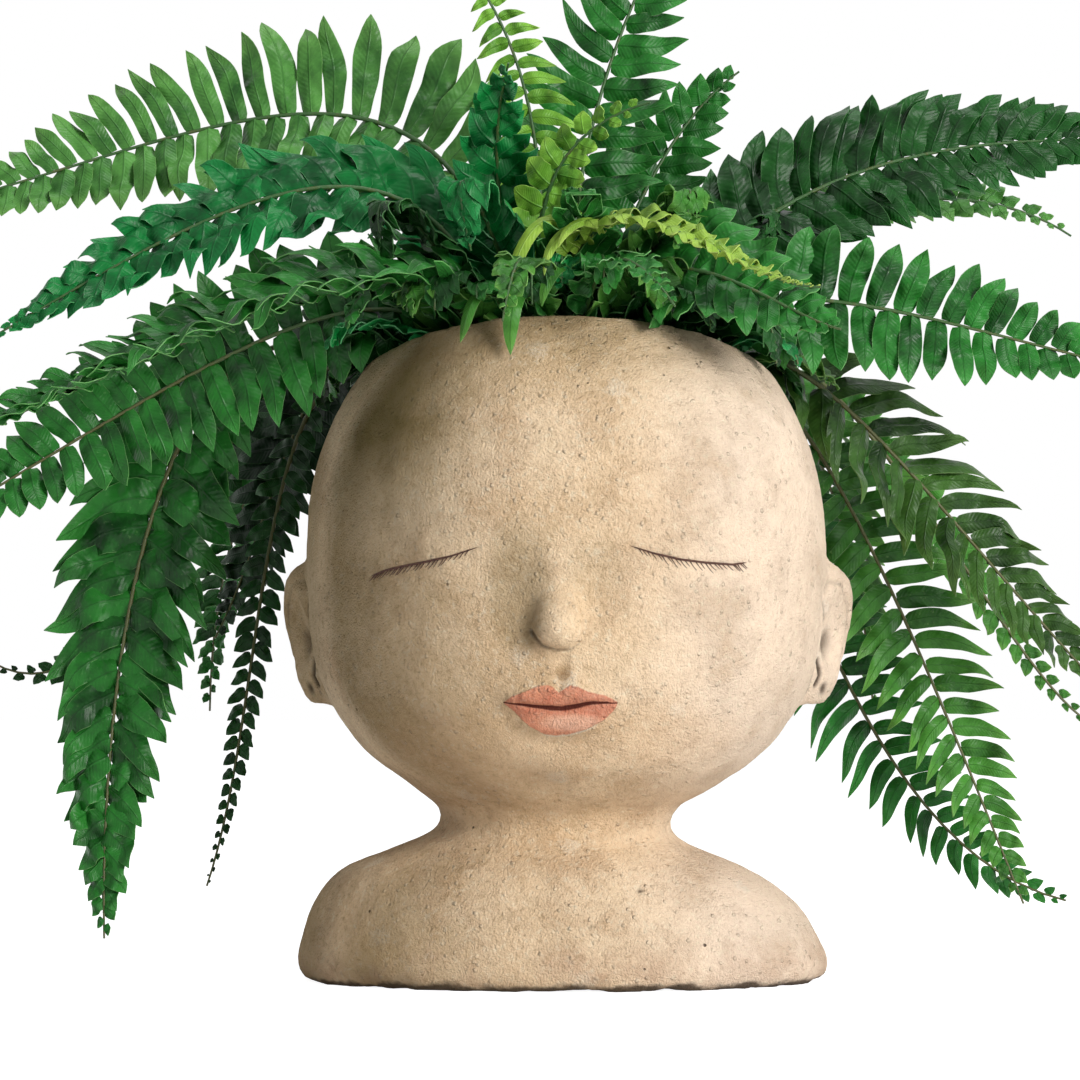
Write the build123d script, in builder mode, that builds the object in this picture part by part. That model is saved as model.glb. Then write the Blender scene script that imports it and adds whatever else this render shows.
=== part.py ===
# Head planter: a cast stone bust whose open skull holds a fern in a lift-out nursery pot.
# Millimetres. +Z up, the face looks along -Y, and the origin is the middle of the drain hole's
# mouth in the flat base. Every length is a named size, and tables hold shares of those sizes.

import os
from math import cos, hypot, radians, sin

from build123d import *

# Casting
bust_height = 294.0
head_width = 230.0
head_depth = 219.0
wall = 12.0
floor_height = 98.0
rim_front_height = 293.0
rim_front_reach = 62.0
rim_slope_degrees = 19.5
rim_outer_round = 4.0
rim_inner_round = 3.0
drain_radius = 8.0
weep_groove_width = 8.0
weep_groove_depth = 4.0

# Face
nose_foot_height = 148.5
nose_width = 22.0
nose_reach = 12.0
nose_proud = 2.0
nose_length = 44.0
mouth_height = 125.6
mouth_offset = 1.1
mouth_width = 49.0
lip_reach = 4.0
lip_bury = 3.0
upper_lip_height = 8.8
upper_lip_half_length = 14.5
upper_lip_droop_degrees = 9.0
lower_lip_height = 15.5
lower_lip_width = 42.0
lip_overlap = 0.9
eye_line_width = 1.6
eye_line_depth = 1.3
ear_height = 63.0
ear_depth = 46.0
ear_thickness = 16.0
ear_centre_height = 153.0
ear_set_back = 9.0
ear_side_offset = 113.0
ear_flare_degrees = 62.0
ear_lean_degrees = 7.0
ear_hollow_height = 40.0
ear_hollow_width = 25.0
ear_hollow_depth = 4.5

# Nursery pot, soil and crown
pot_rim_radius = 54.0
pot_mouth_radius = 51.0
pot_foot_radius = 38.0
pot_height = 125.0
pot_wall = 1.6
pot_rim_height = 9.0
pot_set_back = 10.0
pot_hole_radius = 4.0
pot_hole_ring_radius = 26.0
pot_hole_count = 6
soil_freeboard = 12.0
soil_gap = 0.3
crown_radius = 31.0
crown_skirt = 5.0
crown_rise = 17.0
crown_top_radius = 4.0
crown_shoulder_share = (0.78, 0.55)

# Fronds
stem_thickness = 4.0
stem_tip_thickness = 1.6
stem_half_width = 2.2
leaf_pitch = 14.5
least_leaf_pairs = 6
stem_sections = 3
root_rise = 9.0

# Height, half width, half depth, forward shift and sideways shift of the casting's outline,
# as shares of bust_height, half head_width, half head_depth, half head_depth, half head_width.
outline_shares = [
    (0.000, 0.970, 0.721, 0.018, -0.011),
    (0.007, 1.000, 0.749, 0.018, -0.011),
    (0.020, 1.021, 0.767, 0.018, -0.011),
    (0.058, 1.002, 0.753, 0.018, -0.023),
    (0.105, 0.950, 0.712, 0.018, -0.037),
    (0.145, 0.861, 0.658, 0.009, -0.065),
    (0.172, 0.761, 0.607, 0.000, -0.083),
    (0.192, 0.635, 0.548, -0.005, -0.083),
    (0.211, 0.522, 0.493, -0.009, -0.074),
    (0.233, 0.446, 0.452, -0.018, -0.048),
    (0.255, 0.447, 0.461, -0.037, -0.032),
    (0.279, 0.522, 0.534, -0.064, -0.017),
    (0.310, 0.639, 0.644, -0.078, 0.000),
    (0.347, 0.765, 0.763, -0.073, 0.000),
    (0.391, 0.857, 0.854, -0.055, 0.000),
    (0.435, 0.922, 0.918, -0.041, 0.000),
    (0.483, 0.965, 0.959, -0.027, 0.000),
    (0.561, 0.994, 0.991, -0.009, 0.000),
    (0.646, 1.000, 1.000, 0.000, 0.000),
    (0.731, 0.983, 0.986, 0.000, 0.000),
    (0.816, 0.926, 0.936, 0.009, 0.000),
    (0.891, 0.830, 0.849, 0.018, 0.000),
    (0.959, 0.691, 0.717, 0.027, 0.000),
    (1.014, 0.522, 0.548, 0.037, 0.000),
    (1.048, 0.365, 0.384, 0.037, 0.000),
]
jaw_station = 11

# Height above the nose's foot, half width and reach, as shares of nose_length, half nose_width
# and nose_reach: a round tip, then a bridge that thins out between the eyes.
nose_shares = [
    (0.00, 0.40, 0.38),
    (0.03, 0.62, 0.60),
    (0.07, 0.80, 0.78),
    (0.12, 0.93, 0.92),
    (0.18, 1.00, 1.00),
    (0.25, 0.98, 0.98),
    (0.34, 0.88, 0.86),
    (0.45, 0.77, 0.68),
    (0.58, 0.69, 0.48),
    (0.72, 0.62, 0.29),
    (0.86, 0.56, 0.14),
    (1.00, 0.50, 0.04),
]

# Inner end, outer end and sag of each closed eye's line: sideways shares of half head_width,
# heights and sag as shares of bust_height.
eye_line_shares = [
    ((-0.300, 0.653), (-0.708, 0.614), 0.002),
    ((0.270, 0.654), (0.697, 0.629), 0.0065),
]

# Height, depth and thickness up the ear, as shares of half its sizes: a narrow lobe, a broad top.
ear_shares = [
    (-1.00, 0.26, 0.28),
    (-0.90, 0.50, 0.56),
    (-0.66, 0.70, 0.80),
    (-0.30, 0.84, 0.95),
    (0.10, 0.96, 1.00),
    (0.48, 1.00, 0.96),
    (0.76, 0.86, 0.78),
    (0.93, 0.58, 0.52),
    (1.00, 0.30, 0.28),
]

# Height and girth up a pebble, as shares of its half sizes, at turns up from its waist.
pebble_turn_degrees = (-78, -60, -40, -20, 0, 20, 40, 60, 78)
pebble_shares = [(sin(radians(turn)), cos(radians(turn))) for turn in pebble_turn_degrees]

# Root across the crown (shares of crown_radius), then three points that the midrib passes at equal
# steps (shares of bust_height), the way the leaf side faces, the bare stem's share of the length,
# and the leaf's half width (share of bust_height).
frond_shares = {
    "frond_left_upper": ((-0.50, 0.28), (-0.20, 0.20, 1.25), (-0.53, 0.27, 1.31), (-0.98, 0.22, 1.18),
                         (0, -1, 0.5), 0.34, 0.150),
    "frond_left_middle": ((-0.57, -0.05), (-0.22, 0.04, 1.16), (-0.51, 0.01, 1.16), (-0.86, -0.04, 0.97),
                          (0, -1, 0.8), 0.34, 0.110),
    "frond_left_front": ((-0.42, -0.42), (-0.13, -0.14, 1.03), (-0.43, -0.25, 1.00), (-0.92, -0.33, 0.79),
                         (0, -0.35, 1), 0.30, 0.122),
    "frond_left_low": ((-0.64, -0.28), (-0.22, -0.03, 1.00), (-0.51, -0.02, 0.94), (-0.96, -0.05, 0.68),
                       (0, -1, 0.35), 0.34, 0.122),
    "frond_left_hanging": ((-0.70, 0.10), (-0.47, 0.12, 0.95), (-0.66, 0.09, 0.60), (-0.70, 0.02, 0.06),
                           (-0.25, -1, 0.1), 0.42, 0.116),
    "frond_left_thin": ((-0.60, 0.36), (-0.37, 0.26, 0.91), (-0.48, 0.24, 0.57), (-0.56, 0.20, 0.13),
                        (-0.3, -1, 0), 0.36, 0.040),
    "frond_left_far": ((-0.52, 0.52), (-0.44, 0.46, 0.93), (-0.68, 0.52, 0.61), (-0.93, 0.49, 0.47),
                       (-0.3, -1, 0.3), 0.46, 0.066),
    "frond_left_shaded": ((-0.38, 0.60), (-0.31, 0.33, 0.98), (-0.45, 0.38, 0.80), (-0.56, 0.35, 0.51),
                          (-0.5, -1, 0.1), 0.40, 0.105),
    "frond_top_slim": ((-0.20, 0.20), (-0.04, 0.10, 0.98), (-0.05, 0.09, 1.27), (-0.16, 0.03, 1.54),
                       (0, -1, 0.1), 0.52, 0.066),
    "frond_top_curled": ((-0.32, -0.10), (-0.07, -0.01, 0.98), (-0.10, -0.04, 1.19), (-0.08, -0.16, 1.37),
                         (0, -1, 0.3), 0.52, 0.076),
    "frond_top_tall": ((0.14, 0.14), (0.00, 0.13, 1.01), (0.04, 0.19, 1.32), (0.19, 0.21, 1.67),
                       (0, -1, 0.1), 0.46, 0.122),
    "frond_top_round": ((-0.06, -0.40), (-0.04, -0.07, 1.02), (-0.01, -0.12, 1.21), (0.13, -0.18, 1.31),
                        (0, -1, 0.2), 0.40, 0.050),
    "frond_top_back": ((0.02, 0.46), (0.05, 0.20, 1.03), (0.14, 0.27, 1.25), (0.26, 0.29, 1.39),
                       (0, -1, 0.1), 0.46, 0.105),
    "frond_right_high": ((0.50, 0.06), (0.19, 0.09, 1.05), (0.46, 0.14, 1.23), (0.90, 0.15, 1.27),
                         (0, -1, 0.5), 0.34, 0.116),
    "frond_right_pale": ((0.42, 0.40), (0.18, 0.29, 1.04), (0.48, 0.40, 1.19), (0.78, 0.42, 1.14),
                         (0, -1, 0.8), 0.46, 0.066),
    "frond_right_yellow": ((0.10, -0.56), (0.04, -0.19, 1.11), (0.20, -0.29, 1.10), (0.38, -0.35, 1.03),
                           (0, -0.25, 1), 0.40, 0.054),
    "frond_right_middle": ((0.62, -0.14), (0.20, 0.00, 1.00), (0.48, -0.01, 1.01), (0.85, -0.02, 0.92),
                           (0, -1, 0.2), 0.40, 0.108),
    "frond_right_front": ((0.34, -0.46), (0.11, -0.14, 1.04), (0.26, -0.24, 1.04), (0.41, -0.31, 0.97),
                          (0.1, -1, 0.9), 0.44, 0.092),
    "frond_right_low": ((0.70, 0.08), (0.27, 0.15, 0.95), (0.51, 0.18, 0.78), (0.82, 0.16, 0.43),
                        (0.4, -1, 0.3), 0.36, 0.112),
    "frond_right_hanging": ((0.66, 0.30), (0.25, 0.27, 0.94), (0.46, 0.33, 0.66), (0.70, 0.29, 0.10),
                            (0.2, -1, 0.1), 0.38, 0.112),
    "frond_right_trailing": ((0.50, 0.52), (0.22, 0.35, 0.93), (0.41, 0.42, 0.48), (0.77, 0.38, 0.10),
                             (0.2, -1, 0.1), 0.38, 0.108),
    "frond_right_far": ((0.66, 0.50), (0.33, 0.50, 0.96), (0.62, 0.63, 0.62), (0.85, 0.66, 0.36),
                        (0.3, -1, 0.3), 0.40, 0.054),
    "frond_front_left": ((-0.22, -0.64), (-0.04, -0.18, 1.02), (-0.06, -0.29, 1.07), (-0.08, -0.38, 0.98),
                         (0, -0.6, 1), 0.50, 0.050),
    "frond_front_right": ((0.18, -0.68), (0.04, -0.17, 1.02), (0.10, -0.31, 1.07), (0.17, -0.41, 1.00),
                          (0, -0.6, 1), 0.50, 0.050),
    "frond_back_left": ((-0.24, 0.66), (-0.20, 0.36, 1.00), (-0.47, 0.70, 0.87), (-0.62, 0.94, 0.38),
                        (-0.6, 0.5, 1), 0.40, 0.112),
    "frond_back_middle": ((-0.06, 0.70), (-0.03, 0.36, 1.03), (-0.05, 0.73, 0.89), (-0.03, 1.00, 0.37),
                          (0, 0.8, 1), 0.34, 0.112),
    "frond_back_right": ((0.22, 0.68), (0.17, 0.42, 0.98), (0.36, 0.74, 0.85), (0.48, 0.98, 0.38),
                         (0.6, 0.5, 1), 0.40, 0.112),
    "frond_back_low_left": ((-0.36, 0.74), (-0.14, 0.38, 0.89), (-0.21, 0.57, 0.60), (-0.18, 0.62, 0.35),
                            (-0.3, 1, 0.2), 0.40, 0.080),
    "frond_back_low_right": ((0.36, 0.74), (0.14, 0.39, 0.89), (0.20, 0.58, 0.60), (0.18, 0.63, 0.35),
                             (0.3, 1, 0.2), 0.40, 0.080),
}

# One leaf pair along its pitch: where it is cut, and how far it reaches there.
leaf_shares = [(0.0, 0.24), (0.20, 0.86), (0.62, 1.0), (0.88, 0.30)]
leaf_droop_share = 0.22

# How the blade's reach swells from its first leaf pair and tapers to its tip, as shares of its half width.
first_leaf_share = 0.62
swell_rate_share = 2.2
last_leaf_share = 0.05
taper_power = 2.4


def outline_section(height_share, width_share, depth_share, forward_share, side_share):
    """Height, half width, half depth and centre of the casting at one station."""
    centre = (side_share * head_width / 2, forward_share * head_depth / 2)
    return height_share * bust_height, width_share * head_width / 2, depth_share * head_depth / 2, centre


def casting_form(inset):
    """The whole bust as one solid through its stations, drawn in by inset."""
    with BuildPart() as form:
        for station in outline_shares:
            height, half_width, half_depth, centre = outline_section(*station)
            with BuildSketch(Plane.XY.offset(height)):
                with Locations(centre):
                    Ellipse(half_width - inset, half_depth - inset)
        loft()
    return form.part


def cavity_form():
    """The hollow of the skull: the outline drawn in by one wall, square to its slope."""
    sections = [outline_section(*station) for station in outline_shares]
    with BuildPart() as cavity:
        for number in range(jaw_station, len(sections)):
            here = sections[number]
            below = sections[number - 1]
            above = sections[min(number + 1, len(sections) - 1)]
            slope = (above[1] - below[1]) / (above[0] - below[0])
            length = hypot(1, slope)
            with BuildSketch(Plane.XY.offset(here[0] + wall * slope / length)):
                with Locations(here[3]):
                    Ellipse(here[1] - wall / length, here[2] - wall / length)
        loft()
    return cavity.part


def face_front(height):
    """How far forward the plain casting reaches at a height, on the middle line."""
    sections = [outline_section(*station) for station in outline_shares]
    for low, high in zip(sections, sections[1:]):
        if low[0] <= height <= high[0]:
            share = (height - low[0]) / (high[0] - low[0])
            fronts = [section[3][1] - section[2] for section in (low, high)]
            return fronts[0] + share * (fronts[1] - fronts[0])
    return sections[-1][3][1] - sections[-1][2]


def pebble(half_width, half_depth, half_height):
    """A ball stretched to three half sizes, with small flats at its top and bottom."""
    with BuildPart() as stone:
        for height_share, girth_share in pebble_shares:
            with BuildSketch(Plane.XY.offset(height_share * half_height)):
                Ellipse(girth_share * half_width, girth_share * half_depth)
        loft()
    return stone.part


def face_location(across, height, inward=0, turn=(0, 0, 0)):
    """A place on the face's middle line, moved across it and drawn inward."""
    return Location((across, face_front(height) + inward, height), turn)


def nose_form():
    """The nose as ellipses about the face's middle line."""
    with BuildPart() as nose:
        for height_share, width_share, reach_share in nose_shares:
            height = nose_foot_height + height_share * nose_length
            with BuildSketch(Plane.XY.offset(height)):
                with Locations((0, face_front(height) - reach_share * nose_proud)):
                    Ellipse(width_share * nose_width / 2, reach_share * (nose_reach - nose_proud))
        loft(ruled=True)
    return nose.part


def eye_line_form():
    """The cutter for the two closed eye lines, which goes just under the skin."""
    with BuildPart() as cutter:
        with BuildSketch(Plane.XZ):
            for inner_share, outer_share, sag_share in eye_line_shares:
                inner = (inner_share[0] * head_width / 2, inner_share[1] * bust_height)
                outer = (outer_share[0] * head_width / 2, outer_share[1] * bust_height)
                middle = ((inner[0] + outer[0]) / 2, (inner[1] + outer[1]) / 2 - sag_share * bust_height)
                with BuildLine(mode=Mode.PRIVATE) as lid:
                    ThreePointArc(inner, middle, outer)
                SlotArc(lid.edge(), eye_line_width)
        extrude(amount=head_depth)
        add(casting_form(eye_line_depth), mode=Mode.SUBTRACT)
    return cutter.part


def ear_plane(side):
    """The ear's own plane: x along its depth, z up its height, its hollow on the -y side."""
    flare = radians(ear_flare_degrees)
    place = (side * ear_side_offset, ear_set_back, ear_centre_height)
    plane = Plane(place, x_dir=(cos(flare), side * sin(flare), 0), z_dir=(0, 0, 1))
    return plane.rotated((0, side * ear_lean_degrees, 0))


def ear_form():
    """One ear standing along its own plane, before its hollow."""
    with BuildPart() as ear:
        for height_share, depth_share, thickness_share in ear_shares:
            with BuildSketch(Plane.XY.offset(height_share * ear_height / 2)):
                Ellipse(depth_share * ear_depth / 2, thickness_share * ear_thickness / 2)
        loft()
    return ear.part


def rim_plane():
    """The sloping plane of the opening, highest over the forehead."""
    return Plane((0, -rim_front_reach, rim_front_height)).rotated((-rim_slope_degrees, 0, 0))


def rim_face(head):
    """The flat of the rim, the highest face that lies along its plane."""
    return head.faces().filter_by(rim_plane()).sort_by(Axis.Z)[-1]


def make_bust_base():
    """The lower half of the casting: shoulders, neck and chin, closed by the hollow's floor and drained."""
    with BuildPart() as base:
        add(casting_form(0))
        split(bisect_by=Plane.XY.offset(floor_height), keep=Keep.BOTTOM)
        Cylinder(drain_radius, floor_height, align=(Align.CENTER, Align.CENTER, Align.MIN),
                 mode=Mode.SUBTRACT)
        Box(weep_groove_width, head_depth, weep_groove_depth, align=(Align.CENTER, Align.MIN, Align.MIN),
            mode=Mode.SUBTRACT)
    base.part.label = "bust_base"
    return base


def make_head_shell():
    """The upper half of the casting: the wall round the hollow with nose, lips and ears."""
    upper_lip_middle = mouth_height - lip_overlap + upper_lip_height / 2
    lower_lip_middle = mouth_height + lip_overlap - lower_lip_height / 2
    lip_half_depth = lip_reach + lip_bury
    ear = ear_form()
    ear_hollow = pebble(ear_hollow_width / 2, ear_hollow_depth, ear_hollow_height / 2)
    lower_lip = pebble(lower_lip_height / 2, lip_half_depth, lower_lip_width / 2)
    upper_lip = pebble(upper_lip_height / 2, lip_half_depth, upper_lip_half_length)
    with BuildPart() as head:
        add(casting_form(0))
        split(bisect_by=Plane.XY.offset(floor_height), keep=Keep.TOP)
        split(bisect_by=rim_plane(), keep=Keep.BOTTOM)
        fillet(rim_face(head).edges(), rim_outer_round)

        add(nose_form())

        with Locations(face_location(mouth_offset, lower_lip_middle, lip_bury, (0, 90, 0))):
            add(lower_lip)
        for side in (-1, 1):
            across = mouth_offset + side * (mouth_width / 2 - upper_lip_half_length)
            turn = (0, 90 + side * upper_lip_droop_degrees, 0)
            with Locations(face_location(across, upper_lip_middle, lip_bury, turn)):
                add(upper_lip)

        for side in (-1, 1):
            with Locations(ear_plane(side)):
                add(ear)
                with Locations((side * ear_hollow_depth / 2, -ear_thickness / 2, ear_hollow_depth / 2)):
                    add(ear_hollow, mode=Mode.SUBTRACT)

        add(eye_line_form(), mode=Mode.SUBTRACT)
        add(cavity_form(), mode=Mode.SUBTRACT)
        fillet(rim_face(head).inner_wires()[0].edges(), rim_inner_round)
    head.part.label = "head_shell"
    return head


def pot_section_plane():
    """The upright plane through the pot's middle, with its origin on the cavity's floor."""
    return Plane((0, pot_set_back, floor_height), x_dir=(1, 0, 0), z_dir=(0, -1, 0))


def pot_axis():
    return Axis((0, pot_set_back, 0), (0, 0, 1))


def make_nursery_pot():
    """A thin tapered pot with a turned-out rim and a ring of drain holes."""
    with BuildPart() as pot:
        with BuildSketch(pot_section_plane()):
            with BuildLine():
                Polyline(
                    (0, 0),
                    (pot_foot_radius, 0),
                    (pot_mouth_radius, pot_height - pot_rim_height),
                    (pot_rim_radius, pot_height - pot_rim_height),
                    (pot_rim_radius, pot_height),
                    (pot_mouth_radius - pot_wall, pot_height),
                    (pot_foot_radius - pot_wall, pot_wall),
                    (0, pot_wall),
                    close=True,
                )
            make_face()
        revolve(axis=pot_axis())
        with Locations((0, pot_set_back, floor_height)):
            with PolarLocations(pot_hole_ring_radius, pot_hole_count):
                Cylinder(pot_hole_radius, pot_wall, align=(Align.CENTER, Align.CENTER, Align.MIN),
                         mode=Mode.SUBTRACT)
    pot.part.label = "nursery_pot"
    return pot


def make_potting_mix():
    """Potting mix that fills the pot to just below its rim."""
    level = pot_height - soil_freeboard
    taper = (pot_mouth_radius - pot_foot_radius) / (pot_height - pot_wall)
    foot = pot_foot_radius - pot_wall - soil_gap
    with BuildPart() as mix:
        with BuildSketch(pot_section_plane()):
            with BuildLine():
                Polyline(
                    (0, pot_wall),
                    (foot, pot_wall),
                    (foot + taper * (level - pot_wall), level),
                    (0, level),
                    close=True,
                )
            make_face()
        revolve(axis=pot_axis())
    mix.part.label = "potting_mix"
    return mix


def make_crown():
    """The low dome that all the stems grow from."""
    level = pot_height - soil_freeboard
    top = level + crown_skirt + crown_rise
    radius_share, rise_share = crown_shoulder_share
    shoulder = (radius_share * crown_radius, level + crown_skirt + rise_share * crown_rise)
    with BuildPart() as dome:
        with BuildSketch(pot_section_plane()):
            with BuildLine():
                Polyline((0, level), (crown_radius, level), (crown_radius, level + crown_skirt))
                ThreePointArc((crown_radius, level + crown_skirt), shoulder, (crown_top_radius, top))
                Polyline((crown_top_radius, top), (0, top), (0, level))
            make_face()
        revolve(axis=pot_axis())
    dome.part.label = "fern_crown"
    return dome


def frond_path(root, first, second, tip):
    """The cubic from inside the crown that passes its three points at thirds of its run."""
    start = Vector(
        root[0] * crown_radius,
        root[1] * crown_radius + pot_set_back,
        floor_height + pot_height - soil_freeboard + root_rise,
    )
    passed = [Vector(*point) * bust_height for point in (first, second, tip)]
    bend_one = start * (-5 / 6) + passed[0] * 3 - passed[1] * 1.5 + passed[2] * (1 / 3)
    bend_two = start * (1 / 3) - passed[0] * 1.5 + passed[1] * 3 - passed[2] * (5 / 6)
    return Edge.make_bezier(start, bend_one, bend_two, passed[2])


def frond_stations(length, stem_share, half_width):
    """Shares along the midrib, from root to tip, with the blade's reach at each."""
    stations = [(stem_share * step / stem_sections, stem_half_width) for step in range(stem_sections)]
    leafy_share = 1 - stem_share
    pairs = max(least_leaf_pairs, round(length * leafy_share / leaf_pitch))
    for pair in range(pairs):
        for along_share, reach_share in leaf_shares:
            grown = (pair + along_share) / pairs
            swell = min(1, first_leaf_share + swell_rate_share * grown)
            taper = 1 - grown**taper_power
            reach = max(stem_half_width, half_width * (swell * taper + last_leaf_share) * reach_share)
            stations.append((stem_share + leafy_share * grown, reach))
    stations.append((1, stem_half_width / 2))
    return stations


def make_frond(name, crown, root, first, second, tip, facing, stem_share, width_share):
    """One frond, lofted from its tip down to where it leaves the crown."""
    path = frond_path(root, first, second, tip)
    stations = frond_stations(path.length, stem_share, width_share * bust_height)
    with BuildPart() as frond:
        for share, reach in reversed(stations):
            along = path.tangent_at(share)
            across = along.cross(Vector(*facing)).normalized()
            half_rib = (stem_thickness + (stem_tip_thickness - stem_thickness) * share) / 2
            drop = -leaf_droop_share * reach
            with BuildSketch(Plane(path.position_at(share), x_dir=across, z_dir=along)):
                with BuildLine():
                    Polyline((-reach, drop), (0, half_rib), (reach, drop), (0, -half_rib), close=True)
                make_face()
        loft(ruled=True)
        add(crown.part, mode=Mode.SUBTRACT)
    frond.part.label = name
    return frond


os.makedirs("parts", exist_ok=True)

crown = make_crown()
pieces = [make_bust_base(), make_head_shell(), make_nursery_pot(), make_potting_mix(), crown]
for name, shares in frond_shares.items():
    pieces.append(make_frond(name, crown, *shares))
for piece in pieces:
    export_step(piece.part, f"parts/{piece.part.label}.step")
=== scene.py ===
import math
import random

import bpy
import numpy as np
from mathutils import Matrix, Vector
from mathutils.bvhtree import BVHTree


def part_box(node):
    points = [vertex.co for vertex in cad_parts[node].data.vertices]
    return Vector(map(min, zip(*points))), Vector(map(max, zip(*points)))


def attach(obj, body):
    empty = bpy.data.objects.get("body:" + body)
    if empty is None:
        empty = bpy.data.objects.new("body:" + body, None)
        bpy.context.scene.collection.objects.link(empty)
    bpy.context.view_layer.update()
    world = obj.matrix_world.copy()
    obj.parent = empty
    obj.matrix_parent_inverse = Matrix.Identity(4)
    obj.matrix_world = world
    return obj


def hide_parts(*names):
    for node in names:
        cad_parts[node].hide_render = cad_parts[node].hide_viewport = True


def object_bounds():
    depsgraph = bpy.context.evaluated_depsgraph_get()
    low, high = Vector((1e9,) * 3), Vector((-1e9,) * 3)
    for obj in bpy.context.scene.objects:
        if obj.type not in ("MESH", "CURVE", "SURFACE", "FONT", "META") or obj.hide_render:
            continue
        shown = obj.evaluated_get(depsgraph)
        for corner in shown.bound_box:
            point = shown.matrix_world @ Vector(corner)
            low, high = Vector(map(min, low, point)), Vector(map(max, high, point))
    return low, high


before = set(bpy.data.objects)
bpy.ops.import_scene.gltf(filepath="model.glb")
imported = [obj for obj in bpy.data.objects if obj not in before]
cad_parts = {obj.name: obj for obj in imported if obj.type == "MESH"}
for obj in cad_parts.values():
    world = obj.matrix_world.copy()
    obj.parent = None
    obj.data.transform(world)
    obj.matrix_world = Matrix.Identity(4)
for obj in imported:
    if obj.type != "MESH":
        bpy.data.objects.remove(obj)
cadLow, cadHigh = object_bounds()
print("frame loaded:", len(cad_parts), "nodes")


# Helpers for modelling

def deselectAll():
    if bpy.context.object and bpy.context.object.mode != "OBJECT":
        bpy.ops.object.mode_set(mode="OBJECT")
    bpy.ops.object.select_all(action="DESELECT")


def pick(piece):
    deselectAll()
    piece.select_set(True)
    bpy.context.view_layer.objects.active = piece


def addObject(operator, **settings):
    deselectAll()
    operator(**settings)
    return bpy.context.object


def inEditMode(operator, **settings):  # on the piece that was picked last
    bpy.ops.object.mode_set(mode="EDIT")
    operator(**settings)
    bpy.ops.object.mode_set(mode="OBJECT")


def applyModifier(piece, kind, weights=None, **settings):  # weights say how far each point takes part
    pick(piece)
    if weights is not None:
        group = piece.vertex_groups.new(name="weights")
        for index in np.where(weights > 0)[0]:
            group.add([int(index)], float(weights[index]), "REPLACE")
        settings["vertex_group"] = group.name
    bpy.ops.object.modifier_add(type=kind)
    modifier = piece.modifiers[-1]
    for setting, value in settings.items():
        setattr(modifier, setting, value)
    bpy.ops.object.modifier_apply(modifier=modifier.name)
    piece.vertex_groups.clear()


def remesh(piece, voxel):
    applyModifier(piece, "REMESH", mode="VOXEL", voxel_size=voxel, adaptivity=0)


def roughen(piece, name, size, height, level=0.5, depth=2, weights=None, **settings):  # cloudy bumps
    texture = bpy.data.textures.new(name, "CLOUDS")
    texture.noise_scale = size
    texture.noise_depth = depth
    applyModifier(piece, "DISPLACE", weights, texture=texture, texture_coords="LOCAL", strength=height,
                  mid_level=level, **settings)


def applyPlace(piece):
    pick(piece)
    bpy.ops.object.transform_apply(location=True, rotation=True, scale=True)


def pointsOf(piece, kind="co"):
    flat = np.empty(len(piece.data.vertices) * 3)
    piece.data.vertices.foreach_get(kind, flat)
    return flat.reshape(-1, 3)


def setPoints(piece, points):
    piece.data.vertices.foreach_set("co", np.asarray(points, float).ravel())
    piece.data.update()


def normalsOf(piece):
    return pointsOf(piece, "normal")


def selectWhere(piece, chosen):  # points by a mask, with the edges and faces between them
    mesh = piece.data
    ends = np.empty(len(mesh.edges) * 2, int)
    mesh.edges.foreach_get("vertices", ends)
    corners = np.empty(len(mesh.loops), int)
    mesh.loops.foreach_get("vertex_index", corners)
    starts = np.empty(len(mesh.polygons), int)
    mesh.polygons.foreach_get("loop_start", starts)
    pick(piece)
    mesh.vertices.foreach_set("select", chosen)
    mesh.edges.foreach_set("select", chosen[ends.reshape(-1, 2)].all(axis=1))
    mesh.polygons.foreach_set("select", np.logical_and.reduceat(chosen[corners], starts))


def refine(piece, low, high):  # halves the faces inside a box that look away from the upright axis
    points, normals = pointsOf(piece), normalsOf(piece)
    outward = (points[:, :2] * normals[:, :2]).sum(axis=1) > -0.02
    selectWhere(piece, np.all((points > low) & (points < high), axis=1) & outward)
    inEditMode(bpy.ops.mesh.subdivide, number_cuts=1)


def eased(value, low, high):  # 0 at low, 1 at high, either may be the larger
    share = np.clip((value - low) / (high - low), 0, 1)
    return share * share * (3 - 2 * share)


def awayFromLine(flat, line):  # gap to a drawn line, and how far along it that is
    line = np.array(line)
    runs = np.diff(line, axis=0)
    lengths = np.concatenate([[0], np.cumsum(np.linalg.norm(runs, axis=1))])
    gaps = np.full(len(flat), 1.0)
    shares = np.zeros(len(flat))
    for number, run in enumerate(runs):
        along = np.clip((flat - line[number]) @ run / (run @ run), 0, 1)
        gap = np.linalg.norm(flat - line[number] - along[:, None] * run, axis=1)
        nearer = gap < gaps
        gaps[nearer] = gap[nearer]
        shares[nearer] = (lengths[number] + along[nearer] * np.linalg.norm(run)) / lengths[-1]
    return gaps, shares


def keepValues(piece, name, values):  # a number for each point, which the finish reads
    layer = piece.data.attributes.new(name, "FLOAT", "POINT")
    layer.data.foreach_set("value", np.asarray(values, float))


def joinAll(pieces, name):
    deselectAll()
    for piece in pieces:
        piece.select_set(True)
    bpy.context.view_layer.objects.active = pieces[0]
    bpy.ops.object.join()
    joined = bpy.context.object
    joined.name = name
    joined.data.name = name
    return joined


def showMesh(name, mesh):
    piece = bpy.data.objects.new(name, mesh)
    bpy.context.scene.collection.objects.link(piece)
    return piece


def pieceFrom(name, points, faces):
    mesh = bpy.data.meshes.new(name)
    mesh.from_pydata([tuple(point) for point in points], [], faces)
    return showMesh(name, mesh)


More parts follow.
